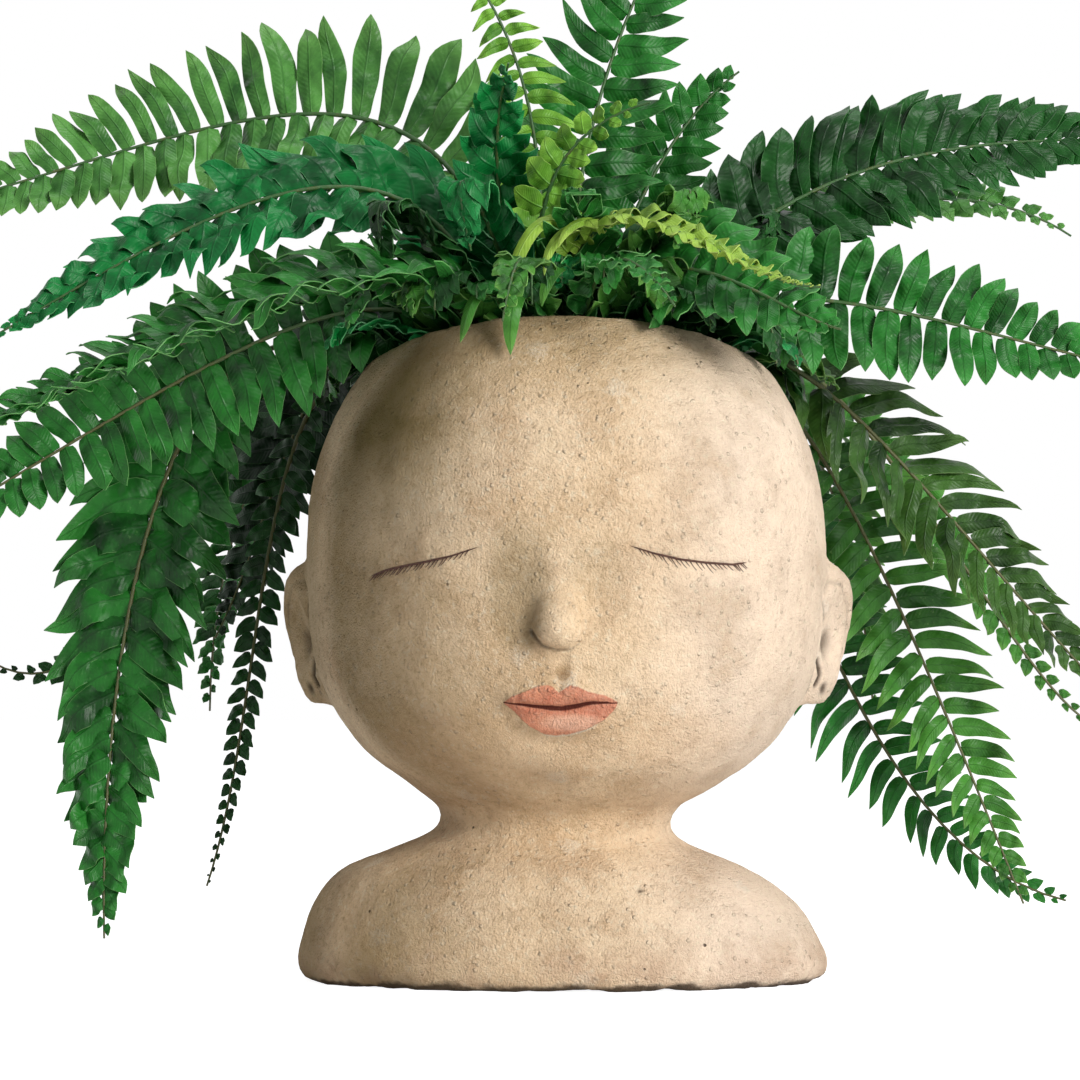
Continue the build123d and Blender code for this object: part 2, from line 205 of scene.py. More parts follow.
def addStrand(thickness, roundness):  # a curve with a round section
    strand = addObject(bpy.ops.curve.primitive_bezier_curve_add)
    strand.matrix_world.identity()
    strand.data.dimensions = "3D"
    strand.data.bevel_depth = thickness / 2
    strand.data.bevel_resolution = roundness
    strand.data.use_fill_caps = True
    return strand


def asMesh(strand):
    pick(strand)
    bpy.ops.object.convert(target="MESH")
    return bpy.context.object


def dress(piece, material):
    piece.data.materials.clear()
    piece.data.materials.append(material)


def copyOfNode(node, name):
    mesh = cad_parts[node].data.copy()
    mesh.name = name
    mesh.materials.clear()
    piece = showMesh(name, mesh)
    pick(piece)
    inEditMode(bpy.ops.mesh.select_all, action="SELECT")
    inEditMode(bpy.ops.mesh.remove_doubles, threshold=1e-6)
    return piece


def shadeSmooth(piece, angle=None):
    pick(piece)
    if angle is None:
        bpy.ops.object.shade_smooth()
    else:
        bpy.ops.object.shade_smooth_by_angle(angle=math.radians(angle))


# Materials: a finish is a material whose maths is written as Python sums

class Wire:
    def __init__(self, finish, node, output=0):
        self.finish = finish
        self.node = node
        self.socket = node.outputs[output]

    def out(self, output):
        return Wire(self.finish, self.node, output)

    def reckon(self, operation, *values):
        return self.finish.node("ShaderNodeMath", {"operation": operation}, dict(enumerate(values)))

    def __add__(self, other):
        return self.reckon("ADD", self, other)

    def __sub__(self, other):
        return self.reckon("SUBTRACT", self, other)

    def __rsub__(self, other):
        return self.reckon("SUBTRACT", other, self)

    def __mul__(self, other):
        return self.reckon("MULTIPLY", self, other)

    def __truediv__(self, other):
        return self.reckon("DIVIDE", self, other)

    def __abs__(self):
        return self.reckon("ABSOLUTE", self)

    __radd__ = __add__
    __rmul__ = __mul__

    def sine(self):
        return self.reckon("SINE", self)

    def most(self, other):
        return self.reckon("MAXIMUM", self, other)

    def ramp(self, low, high):  # 0 at low, 1 at high, eased, and low may be the larger
        return self.finish.node("ShaderNodeMapRange", {"interpolation_type": "SMOOTHSTEP"},
                                {"Value": self, "From Min": low, "From Max": high})


class Finish:
    def __init__(self, name, owner=None):
        self.material = owner or bpy.data.materials.new(name)
        self.material.use_nodes = True
        self.tree = self.material.node_tree
        self.tree.nodes.clear()

    def node(self, kind, settings={}, values={}, output=0):
        made = self.tree.nodes.new(kind)
        for setting, value in settings.items():
            setattr(made, setting, value)
        for socket, value in values.items():
            if isinstance(value, Wire):
                self.tree.links.new(value.socket, made.inputs[socket])
            else:
                made.inputs[socket].default_value = value
        return Wire(self, made, output) if made.outputs else None

    def place(self):
        return self.node("ShaderNodeTexCoord", output="Object")

    def noise(self, place, scale, detail, roughness, distortion=0.0):  # three scales stretch it
        if isinstance(scale, tuple):
            place, scale = self.node("ShaderNodeMapping", {}, {"Vector": place, "Scale": scale}), 1
        return self.node("ShaderNodeTexNoise", {}, {"Vector": place, "Scale": scale, "Detail": detail,
                                                    "Roughness": roughness, "Distortion": distortion})

    def mix(self, share, first, second):
        return self.node("ShaderNodeMix", {"data_type": "RGBA"}, {0: share, 6: first, 7: second}, 2)

    def bump(self, height, depth):
        return self.node("ShaderNodeBump", {}, {"Height": height, "Distance": depth, "Strength": 1.0})

    def seen(self):  # 1 for what the camera sees, itself or by way of a gloss or glass
        rays = self.node("ShaderNodeLightPath")
        glossy, through = rays.out("Is Glossy Ray"), rays.out("Is Transmission Ray")
        return rays.out("Is Camera Ray").most(glossy).most(through)

    def close(self, **values):
        sockets = {name.replace("_", " "): value for name, value in values.items()}
        shader = self.node("ShaderNodeBsdfPrincipled", {}, sockets)
        self.node("ShaderNodeOutputMaterial", {}, {"Surface": shader})
        return self.material


def paint(red, green, blue):  # a colour as a paint chart gives it, 0 to 255
    def straight(value):
        share = value / 255
        return share / 12.92 if share <= 0.04045 else ((share + 0.055) / 1.055) ** 2.4
    return (straight(red), straight(green), straight(blue), 1)


# Camera, light and floor

cameraValues = {
    "distance": 2.8,
    "turn": 2.0,  # degrees about Z, so the face is seen a touch from its left
    "height": 0.195,
    "aside": -0.0115,  # the picture's middle lies this far left of the head's
    "lens": 210.7,
}


def makeCamera(values):
    turn = math.radians(values["turn"])
    ahead = Vector((-math.sin(turn), math.cos(turn), 0))
    right = Vector((math.cos(turn), math.sin(turn), 0))
    place = right * values["aside"] - ahead * values["distance"]
    place.z = values["height"]
    camera = addObject(bpy.ops.object.camera_add, location=place, rotation=(math.pi / 2, 0, turn))
    camera.data.lens = values["lens"]
    bpy.context.scene.camera = camera


lightValues = {
    "key": {"place": (1.60, -1.70, 0.90), "size": 0.9, "power": 58, "colour": (1.0, 0.985, 0.965)},
    "fill": {"place": (-1.6, -1.5, 0.7), "size": 1.4, "power": 2.6, "colour": (0.98, 0.98, 1.0)},
    "top": {"place": (0.3, 0.1, 1.9), "size": 0.8, "power": 10, "colour": (1.0, 1.0, 1.0)},
    "aim": (0, 0, 0.2),
    "room": 0.22,  # strength of the even white room light
    "floorSize": 8.0,
    "floorGlow": 0.92,  # what the camera sees on top of the floor's own light, so that it is white
}


def makeLights(values):
    for name in ("key", "fill", "top"):
        lamp = values[name]
        place = Vector(lamp["place"])
        turn = (Vector(values["aim"]) - place).to_track_quat("-Z", "Y").to_euler()
        light = addObject(bpy.ops.object.light_add, type="AREA", location=place, rotation=turn)
        light.name = name + "Light"
        light.data.size = lamp["size"]
        light.data.energy = lamp["power"]
        light.data.color = lamp["colour"]
    room = Finish("room", bpy.data.worlds.new("room"))
    bpy.context.scene.world = room.material
    strength = room.node("ShaderNodeMapRange", {},
                         {"Value": room.seen(), "To Min": values["room"], "To Max": 1.0})
    background = room.node("ShaderNodeBackground", {}, {"Color": (1, 1, 1, 1), "Strength": strength})
    room.node("ShaderNodeOutputWorld", {}, {"Surface": background})


def makeFloor(values):
    floor = addObject(bpy.ops.mesh.primitive_plane_add, size=values["floorSize"])
    floor.name = "floor"
    finish = Finish("paleFloor")
    glow = finish.node("ShaderNodeEmission", {}, {"Strength": finish.seen() * values["floorGlow"]})
    plain = finish.node("ShaderNodeBsdfDiffuse", {}, {"Color": (0.8, 0.8, 0.8, 1)})
    both = finish.node("ShaderNodeAddShader", {}, {0: glow, 1: plain})
    finish.node("ShaderNodeOutputMaterial", {}, {"Surface": both})
    dress(floor, finish.material)


makeCamera(cameraValues)
makeLights(lightValues)
makeFloor(lightValues)
bpy.context.scene.view_settings.view_transform = "Standard"
print("camera, lights and floor set")


# Head: the casting, worked over like clay, then painted

headValues = {
    "voxel": 0.0030,
    "smoothing": 4,
    "lumpSize": 0.016,
    "lumpHeight": 0.0011,
    "grainSize": 0.0045,
    "grainHeight": 0.0003,
    "edgeHeight": 0.008,  # the rough foot of the casting reaches this high
    "edgeBite": 0.0020,
    "biteSize": 0.014,
    "bridge": (0.166, 0.186),  # the nose's ridge fades out between these heights
    "bridgeTop": (0.222, 0.208),  # and the forehead is left alone between these
    "bridgeWidth": (0.024, 0.012),
    "bridgeMelt": 140,  # rounds of smoothing there
    "frontDepth": -0.04,  # the face lies ahead of this
    "hollowRadius": 0.112,
    "floorBand": (0.0975, 0.105),  # the hollow's floor lies between these heights
    "pulls": [  # spot across and up the face, reach of the pull, and how far the skin moves
        ((-0.0175, 0.178), 0.026, (0.0, 0.0030, 0.0)),
        ((0.0175, 0.178), 0.026, (0.0, 0.0024, 0.0)),
        ((-0.055, 0.205), 0.034, (0.0, -0.0012, 0.0)),
        ((0.055, 0.205), 0.034, (0.0, -0.0012, 0.0)),
        ((-0.058, 0.176), 0.026, (0.0, -0.0010, 0.0)),
        ((0.056, 0.178), 0.026, (0.0, -0.0010, 0.0)),
        ((0.001, 0.104), 0.020, (0.0, 0.0014, 0.0)),
        ((0.001, 0.090), 0.020, (0.0, -0.0020, 0.0)),
    ],
    "mouthBox": ((-0.030, -0.20, 0.107), (0.031, -0.05, 0.160)),
    "lipBox": ((-0.026, -0.20, 0.110), (0.028, -0.05, 0.1345)),
    "eyeBoxes": [((-0.086, -0.20, 0.175), (-0.030, -0.02, 0.198)),
                 ((0.027, -0.20, 0.179), (0.085, -0.02, 0.198))],
    "earBoxes": [((-0.140, -0.06, 0.115), (-0.097, 0.08, 0.190)),
                 ((0.097, -0.06, 0.115), (0.140, 0.08, 0.190))],
}

faceValues = {  # places across and up the face
    "mouth": [(-0.0235, 0.1256), (-0.0119, 0.1239), (-0.0043, 0.1232), (0.0014, 0.1229), (0.0071, 0.1237),
              (0.0147, 0.1249), (0.0253, 0.1253)],
    "mouthDepth": 0.0014,
    "mouthWidth": 0.0013,
    "mouthInk": 0.0010,
    "lipTop": [(-0.0235, 0.1258), (-0.0199, 0.1281), (-0.0138, 0.1304), (-0.0089, 0.1328), (-0.0047, 0.1331),
               (-0.0024, 0.1325), (0.0003, 0.1296), (0.0025, 0.1315), (0.0052, 0.1332), (0.0090, 0.1323),
               (0.0128, 0.1304), (0.0196, 0.1290), (0.0253, 0.1260)],
    "lipFoot": [(-0.0235, 0.1252), (-0.0190, 0.1220), (-0.0157, 0.1182), (-0.0119, 0.1150), (-0.0062, 0.1120),
                (-0.0017, 0.1115), (0.0033, 0.1119), (0.0090, 0.1132), (0.0147, 0.1155), (0.0193, 0.1182),
                (0.0234, 0.1220), (0.0253, 0.1248)],
    "lipEdge": 0.0012,
    "creases": [  # line, half width, depth, dirt and painted shade, and how fast it fades along the line
        ([(0.0003, 0.1300), (0.0006, 0.1345)], 0.0018, 0.0012, 0, 0),  # bow of the lip
        # Along the foot of the nose the darkening is painted shadow with some dirt, strongest on the left and
        # fading towards the right.
        ([(-0.0118, 0.1560), (-0.0070, 0.1500), (-0.0006, 0.1478), (0.0058, 0.1480), (0.0095, 0.1510)],
         0.0014, 0.0006, 0.7, 0.0008),  # foot of the nose
        ([(0.0020, 0.1440), (0.0018, 0.1350)], 0.0030, 0.0008, 0, 0),  # groove under the nose
    ],
    "eyes": [
        {"line": [(-0.0345, 0.1919), (-0.0465, 0.1880), (-0.0570, 0.1857), (-0.0670, 0.1838),
                  (-0.0750, 0.1820), (-0.0814, 0.1796)], "side": -1},
        {"line": [(0.0310, 0.1924), (0.0410, 0.1893), (0.0520, 0.1867), (0.0630, 0.1853), (0.0740, 0.1845),
                  (0.0801, 0.1853)], "side": 1},
    ],
    "lidFold": (0.0012, 0.0007, 0.35),  # half width, depth, dirt and painted shade in the crease
    "lidThickness": 0.00105,
    "lashThickness": 0.00052,
    "lashes": 25,  # on each lid
    "lashLengths": (0.0030, 0.0050),
    "lidSink": 0.1,  # of their thickness, how far the strands stand out of the skin
    "lashSink": 0.45,
    "lidTaper": [(0, 0.15), (0.05, 0.55), (0.3, 1.0), (0.7, 1.0), (0.94, 0.7), (1, 0.15)],
    "lashTurn": (62, 10, 9),  # degrees down from level, less towards the outer end, and the spread
    "lashBend": 0.12,
    "pits": [(0.0132, 0.0290), (0.0334, 0.0256), (0.0339, 0.0432), (0.0106, 0.2305)],
    "pitShape": (0.0010, 0.0010, 1.0),  # the same
}

earValues = {  # the ear's own frame: along its depth and up its height
    "place": (0.113, 0.009, 0.153),
    "flare": 62,
    "lean": 7,
    "skull": 0.098,  # the ear stands out beyond this
    "folds": [  # line, half width, depth, dirt and painted shade
        ([(-0.012, 0.020), (-0.004, 0.0245), (0.008, 0.0215), (0.0145, 0.011), (0.0150, -0.002),
          (0.011, -0.013)], 0.0019, 0.0015, 0.40),
        ([(-0.013, 0.016), (-0.008, 0.006), (-0.011, -0.004)], 0.0020, 0.0016, 0.7),
        ([(-0.013, -0.010), (-0.010, -0.017), (-0.012, -0.021)], 0.0019, 0.0020, 0.9),
        ([(-0.0185, 0.024), (-0.0180, 0.010), (-0.0175, -0.006), (-0.0180, -0.024)], 0.0018, 0.0012, 0.6),
    ],
    # dents: spot, half width, depth, dirt and painted shade
    "dents": [((-0.003, -0.003), 0.0080, 0.0018, 0.75), ((-0.006, -0.0235), 0.0035, 0.0010, 0.8)],
}


def pullSkin(piece, spot, reach, move):  # a soft grab, as with proportional editing
    points = pointsOf(piece)
    front = points[:, 1] < 0
    gap = np.hypot(points[:, 0] - spot[0], points[:, 2] - spot[1]) + np.where(front, 0, 1)
    near = np.where(gap < 0.006)[0]
    nearest = near[np.argmin(points[near, 1])]
    chosen = np.zeros(len(points), bool)
    chosen[nearest] = True
    selectWhere(piece, chosen)
    inEditMode(bpy.ops.transform.translate, value=move, use_proportional_edit=True, proportional_size=reach,
               proportional_edit_falloff="SMOOTH", use_proportional_connected=True)


def roughenFoot(piece, values):  # bites out of the lower edge
    weights = np.clip(1 - pointsOf(piece)[:, 2] / values["edgeHeight"], 0, 1)
    roughen(piece, "footBites", values["biteSize"], -2 * values["edgeBite"], 0.45, 3, weights)
    points = pointsOf(piece)
    points[:, 2] = np.maximum(points[:, 2], max(cadLow.z, 0))
    setPoints(piece, points)


def carve(points, normals, shadesAndDirt, gaps, halfWidth, depth, shadeAndDirt):  # a soft groove, darkened with dirt and painted shade
    profile = np.exp(-(gaps / halfWidth) ** 2)
    points -= normals * (profile * depth)[:, None]
    np.maximum(shadesAndDirt, profile * shadeAndDirt, out=shadesAndDirt)


def shapeFace(piece, values):  # mouth, nose and lids, and the paint on the lips
    points, normals = pointsOf(piece), normalsOf(piece)
    flat = points[:, [0, 2]]
    back = np.where(points[:, 1] < -0.02, 0, 1)
    shadesAndDirt, ink = np.zeros(len(points)), np.zeros(len(points))

    gaps, shares = awayFromLine(flat, values["mouth"])
    taper = np.sin(math.pi * np.clip(shares, 0.04, 0.96)) ** 0.5
    carve(points, normals, shadesAndDirt, gaps + back, values["mouthWidth"], values["mouthDepth"] * taper, 0)
    np.maximum(ink, np.clip(1.45 - (gaps + back) / (values["mouthInk"] * taper), 0, 1), out=ink)

    for line, halfWidth, depth, shadeAndDirt, fade in values["creases"]:
        gaps, shares = awayFromLine(flat, line)
        carve(points, normals, shadesAndDirt, gaps + back + fade * shares, halfWidth, depth, shadeAndDirt)
    for eye in values["eyes"]:
        gaps, _ = awayFromLine(flat, eye["line"])
        carve(points, normals, shadesAndDirt, gaps + back, *values["lidFold"])
    for spot in values["pits"]:
        gaps = np.hypot(flat[:, 0] - spot[0], flat[:, 1] - spot[1])
        carve(points, normals, shadesAndDirt, gaps + back, *values["pitShape"])

    top = np.interp(flat[:, 0], *zip(*values["lipTop"]))
    foot = np.interp(flat[:, 0], *zip(*values["lipFoot"]))
    inside = np.minimum(top - flat[:, 1], flat[:, 1] - foot) / values["lipEdge"]
    ends = values["lipTop"][0][0], values["lipTop"][-1][0]
    inside = np.where((flat[:, 0] > ends[0]) & (flat[:, 0] < ends[1]) & (back < 1), inside, -1)
    tint = np.clip(0.5 + 0.5 * inside, 0, 1)
    setPoints(piece, points)
    return shadesAndDirt, ink, tint


def shapeEar(piece, side, values, shadesAndDirt):  # folds on the side of the ear that faces forward
    flare, lean = math.radians(values["flare"]), math.radians(values["lean"])
    points, normals = pointsOf(piece), normalsOf(piece)
    facing = np.array([side * math.sin(flare), -math.cos(flare), 0])
    deep = np.array([side * math.cos(flare), math.sin(flare), 0])
    away = points - np.array(values["place"]) * (side, 1, 1)
    along = away @ deep * math.cos(lean) + away[:, 2] * math.sin(lean)
    upward = away[:, 2] * math.cos(lean) - away @ deep * math.sin(lean)
    flat = np.stack([along, upward], axis=1)
    hidden = np.where((side * points[:, 0] > values["skull"]) & (normals @ facing > 0.05), 0, 1)
    for line, halfWidth, depth, shadeAndDirt in values["folds"]:
        gaps, _ = awayFromLine(flat, line)
        carve(points, normals, shadesAndDirt, gaps + hidden, halfWidth, depth, shadeAndDirt)
    for spot, halfWidth, depth, shadeAndDirt in values["dents"]:
        gaps = np.hypot(along - spot[0], upward - spot[1])
        carve(points, normals, shadesAndDirt, gaps + hidden, halfWidth, depth, shadeAndDirt)
    setPoints(piece, points)


def markInside(piece, values):  # 1 on the wall and floor of the hollow
    points, normals = pointsOf(piece), normalsOf(piece)
    radii = np.hypot(points[:, 0], points[:, 1])
    inward = -(points[:, :2] * normals[:, :2]).sum(axis=1) / np.maximum(radii, 1e-6)
    floorLow, floorHigh = values["floorBand"]
    onFloor = (points[:, 2] < floorHigh) * (normals[:, 2] > 0.5)
    return (radii < values["hollowRadius"]) * (points[:, 2] > floorLow) * (eased(inward, 0.1, 0.5) + onFloor)


def stoneFinish(name, values):
    finish = Finish(name)
    place = finish.place()
    axes = finish.node("ShaderNodeSeparateXYZ", {}, {"Vector": place})
    across, depth, height = axes, axes.out(1), axes.out(2)
    bands = values["bands"]
    front = depth.ramp(*bands["front"])
    shadesAndDirt, ink, tint, inside = (finish.node("ShaderNodeAttribute", {"attribute_name": kept}, output=2)
                                 for kept in ("shadesAndDirt", "ink", "tint", "inside"))

    def blob(name):
        spotAcross, spotHeight, halfWidth, halfHeight, soft = values["spots"][name]
        awayAcross = (across - spotAcross) / halfWidth
        awayUp = (height - spotHeight) / halfHeight
        return (awayAcross * awayAcross + awayUp * awayUp).ramp(1 + soft, 1 - soft)

    def lay(colour, share):  # one more coat over what is there
        nonlocal body
        body = finish.mix(share, body, values[colour])

    wobble = finish.noise(place, 60, 3, 0.6)
    cloud = finish.noise(place, 9, 5, 0.62)
    patch = finish.noise(place, 30, 5, 0.68, 0.15)
    streak = finish.noise(place, (70, 60, 40), 4, 0.66)
    grit = finish.noise(place, 330, 5, 0.74)
    sand = finish.noise(place, 1150, 3, 0.7)
    grain = finish.noise(place, 1000, 3, 0.64)
    body = finish.mix(cloud.ramp(0.34, 0.62), values["dark"], values["light"])
    lay("warm", patch.ramp(0.46, 0.70) * 0.45)
    lay("olive", streak.ramp(0.52, 0.74) * 0.22)
    # Painted light: the right side, which faces the lamp, is painted paler, with fewer dark specks and less
    # brown grit there.
    litShare = across.ramp(*bands["paintedLight"]) * (0.60 + 0.5 * cloud)
    lay("paintedLight", litShare * (1 - patch.ramp(0.54, 0.72) * 0.35))
    awayFromPaintedLight = 1 - litShare * 0.65
    lay("brown", grit.ramp(0.52, 0.66) * awayFromPaintedLight * 0.42)
    lay("pale", grit.ramp(0.47, 0.34) * 0.60)
    lay("speck", sand.ramp(0.58, 0.70) * awayFromPaintedLight * 0.42)

    # Pinholes, and pale crusts where minerals came out
    cells, crumbs, crusts = (finish.node("ShaderNodeTexVoronoi", {}, {"Vector": place, "Scale": scale})
                             for scale in (80, 300, 38))
    pits = (cells + wobble * 0.03).ramp(0.082, 0.045) * cells.out(1).ramp(0.70, 0.74)
    crumb = (crumbs + grit * 0.26).ramp(0.46, 0.27) * crumbs.out(1).ramp(0.55, 0.61) * patch.ramp(0.34, 0.56)
    crust = (crusts + grit * 0.30).ramp(0.40, 0.26) * crusts.out(1).ramp(0.62, 0.66)
    lay("mineral", crust * sand.ramp(0.36, 0.55) * 0.40)
    lay("pale", crumb * 0.35)
    lay("pit", pits * 0.85)

    # Painted shade on the shaded side, the left ear and the hollows by the nose and eyes, painted shadow of
    # the leaves under the rim and on the left temple, brown under the chin, darker along the foot, dirt and
    # painted shade in the grooves, and darker inside the hollow
    drift = (cloud - 0.5) * 0.05 + (wobble - 0.5) * 0.03
    # Painted shade: the left side of the face, away from the lamp, is painted darker.
    side = (across + drift).ramp(*bands["shaded"]) * front
    lay("paintedShade", side * (0.36 + 0.50 * patch))
    # Painted shade on the left ear.
    shadedEar = across.ramp(*bands["ear"]) * depth.ramp(*bands["earDepth"])
    lay("paintedShade", shadedEar * (0.20 + 0.50 * patch))
    # Painted shadow of the leaves across the top of the forehead, under the rim.
    browLeafShadow = height.ramp(*bands["browLeafShadow"]) * (0.12 + 0.55 * wobble)
    lay("paintedShade", browLeafShadow)
    # Painted shadow of the fern on the left temple.
    temple = (height + drift).ramp(*bands["temple"]) * (across + drift).ramp(*bands["templeSide"]) * front
    lay("olivePaintedShade", temple * (0.62 + 0.45 * patch))
    # Painted shade beside the nose, under the left nostril and at the inner corner of the right eye.
    hollows = blob("noseSide").most(blob("nostril")).most(blob("innerEye") * 0.35)
    lay("olivePaintedShade", hollows * front * (0.16 + 0.50 * patch))
    drip = blob("drip") * front * height.ramp(*bands["drip"])
    lay("brown", drip * (0.45 + 0.5 * grit))
    cheeks = blob("rightCheek").most(blob("leftCheek")) * front
    lay("warm", cheeks * patch * 0.5)
    chin = height.ramp(*bands["chin"]) * height.ramp(*bands["neck"])
    lay("brown", chin * 0.28 * patch)
    band = height.ramp(*bands["footTop"]) * height.ramp(*bands["footEdge"])
    lay("pink", band * patch.ramp(0.40, 0.66) * 0.40)
    # Darker along the bottom edge.
    foot = (height + (wobble - 0.5) * 0.010).ramp(*bands["footDark"])
    lay("darkBrown", foot * 0.88)
    # Dirt and painted shade in the grooves, folds and pits.
    lay("darkBrown", (shadesAndDirt * (0.55 + 0.9 * wobble)).ramp(0.12, 0.95) * 0.92)
    # Darker inside the hollow.
    lay("insideDark", inside * (0.55 + 0.3 * patch))

    # Lips: coral paint rubbed down to the stone, pale along its lower edge
    lips = values["lips"]
    rub = (grit - 0.5) * 0.9 + (sand - 0.5) * 0.5
    mouth = (tint + rub * 0.35).ramp(0.34, 0.66)
    rim = (tint + rub * 0.2).ramp(0.10, 0.30) * (1 - mouth) * height.ramp(*bands["lipRim"])
    rim = rim * across.ramp(*bands["lipRimSide"])
    creases = finish.noise(place, (620, 200, 150), 3, 0.6)
    worked = (wobble * 0.35 + grit * 0.40 + creases * 0.35).ramp(0.44, 0.64)
    coat = finish.mix(worked, lips["deep"], lips["coral"])
    for colour, share in (("rubbed", blob("lipMiddle") * (0.15 + 0.75 * grit)),
                          ("deep", blob("lipBow") * 0.6),
                          ("deep", height.ramp(*bands["seamFoot"]) * height.ramp(*bands["seamTop"]) * 0.55),
                          ("rubbed", sand.ramp(0.50, 0.64) * 0.30), ("deep", sand.ramp(0.46, 0.34) * 0.35)):
        coat = finish.mix(share, coat, lips[colour])
    lay("mineral", rim * 0.55)
    body = finish.mix(mouth * (0.72 + 0.5 * rub), body, coat)
    body = finish.mix((ink + rub * 0.3).ramp(0.25, 0.85) * 0.93, body, lips["seam"])

    lumps = finish.noise(place, 120, 3, 0.55)
    rough = 0.70 + 0.45 * patch.ramp(0.40, 0.66) + side * 0.45
    relief = (grain * 0.66 + grit * 0.18 + sand * 0.34) * rough + lumps * 0.30 + crumb * 0.42
    relief = relief - pits * 1.0 + crust * 0.14 + creases * mouth * 0.3
    normal = finish.bump(relief, 0.0029)
    return finish.close(Base_Color=body, Roughness=0.92 - 0.16 * grit, Normal=normal,
                        Specular_IOR_Level=0.12)


stoneValues = {
    "spots": {  # place across and up the face, half width, half height, and how soft the edge is
        # the first three mark painted shade
        "noseSide": (-0.0170, 0.176, 0.013, 0.026, 0.9),
        "nostril": (-0.0130, 0.160, 0.006, 0.011, 0.9),
        "innerEye": (0.016, 0.184, 0.012, 0.013, 0.9),
        "drip": (0.0022, 0.1396, 0.0034, 0.0044, 0.35),
        "rightCheek": (0.030, 0.112, 0.042, 0.014, 0.8),
        "leftCheek": (-0.03, 0.106, 0.05, 0.016, 0.8),
        "lipMiddle": (0.006, 0.1172, 0.012, 0.0036, 0.8),
        "lipBow": (-0.004, 0.1275, 0.0045, 0.0035, 0.8),
    },
    "bands": {  # where each begins and where it is full: across, in depth or in height
        "front": (-0.04, -0.06), "paintedLight": (0.010, 0.085), "shaded": (-0.020, -0.112),
        "ear": (-0.100, -0.112), "earDepth": (0.055, 0.035), "browLeafShadow": (0.245, 0.292),
        "temple": (0.195, 0.250), "templeSide": (-0.022, -0.072), "drip": (0.1445, 0.1375),
        "chin": (0.104, 0.086), "neck": (0.060, 0.076), "footTop": (0.026, 0.010),
        "footEdge": (0.001, 0.006), "footDark": (0.0038, 0.0012), "lipRim": (0.1165, 0.1135),
        "lipRimSide": (-0.010, -0.002), "seamFoot": (0.1185, 0.1225), "seamTop": (0.1262, 0.1235),
    },
    "light": paint(250, 223, 188),
    "dark": paint(232, 200, 160),
    # painted light for the side that faces the lamp
    "paintedLight": paint(250, 228, 206),
    "warm": paint(226, 184, 140),
    "olive": paint(190, 164, 118),
    "brown": paint(164, 128, 88),
    "pale": paint(250, 234, 206),
    "speck": paint(122, 94, 64),
    "mineral": paint(246, 236, 218),
    "pit": paint(44, 32, 22),
    # the next two are painted shade colours
    "paintedShade": paint(148, 124, 74),
    "olivePaintedShade": paint(108, 94, 48),
    "pink": paint(216, 178, 150),
    # dark brown for dirt and painted shade in the grooves, and for the darker bottom edge
    "darkBrown": paint(62, 46, 32),
    # darker inside the hollow
    "insideDark": paint(96, 76, 54),
    "lips": {
        "coral": paint(244, 152, 120),
        "deep": paint(200, 84, 62),
        "rubbed": paint(250, 208, 184),
        "seam": paint(70, 22, 18),
    },
}


def makeHead(values, colours):
    head = joinAll([copyOfNode("bust_base", "lower"), copyOfNode("head_shell", "upper")], "head")
    remesh(head, values["voxel"])
    applyModifier(head, "SMOOTH", factor=0.5, iterations=values["smoothing"])
    points = pointsOf(head)
    ridge = eased(points[:, 2], *values["bridge"]) * eased(np.abs(points[:, 0]), *values["bridgeWidth"])
    ridge *= (points[:, 1] < values["frontDepth"]) * eased(points[:, 2], *values["bridgeTop"])
    applyModifier(head, "SMOOTH", ridge, factor=0.5, iterations=values["bridgeMelt"])
    for spot, reach, move in values["pulls"]:
        pullSkin(head, spot, reach, move)
    for name in ("earBoxes", "eyeBoxes"):
        for low, high in values[name]:
            refine(head, low, high)
    refine(head, *values["mouthBox"])
    refine(head, *values["mouthBox"])
    refine(head, *values["lipBox"])
    for low, high in values["eyeBoxes"]:
        refine(head, low, high)
    shadesAndDirt, ink, tint = shapeFace(head, faceValues)
    for side in (-1, 1):
        shapeEar(head, side, earValues, shadesAndDirt)
    kept = {"shadesAndDirt": shadesAndDirt, "ink": ink, "tint": tint, "inside": markInside(head, values)}
    for name, marks in kept.items():
        keepValues(head, name, marks)
    roughen(head, "lumps", values["lumpSize"], values["lumpHeight"])
    roughen(head, "grain", values["grainSize"], values["grainHeight"])
    roughenFoot(head, values)
    shadeSmooth(head)
    dress(head, stoneFinish("castStone", colours))
    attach(head, "planter")
    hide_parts("bust_base", "head_shell")
    return head


head = makeHead(headValues, stoneValues)
print("head shaped:", len(head.data.polygons), "faces")


def onFace(skin, across, height):  # where a line drawn on the face lies on the skin
    spot, normal, _, _ = skin.ray_cast(Vector((across, -1, height)), Vector((0, 1, 0)))
    return spot, normal


def drawStroke(curve, skin, line, thickness, sink):  # a tapered strand laid along the skin
    spline = curve.splines.new("POLY")
    spline.points.add(len(line) - 1)
    for number, (across, height, girth) in enumerate(line):
        spot, normal = onFace(skin, across, height)
        place = spot + normal * (thickness * girth * sink)
        spline.points[number].co = (*place, 1)
        spline.points[number].radius = girth


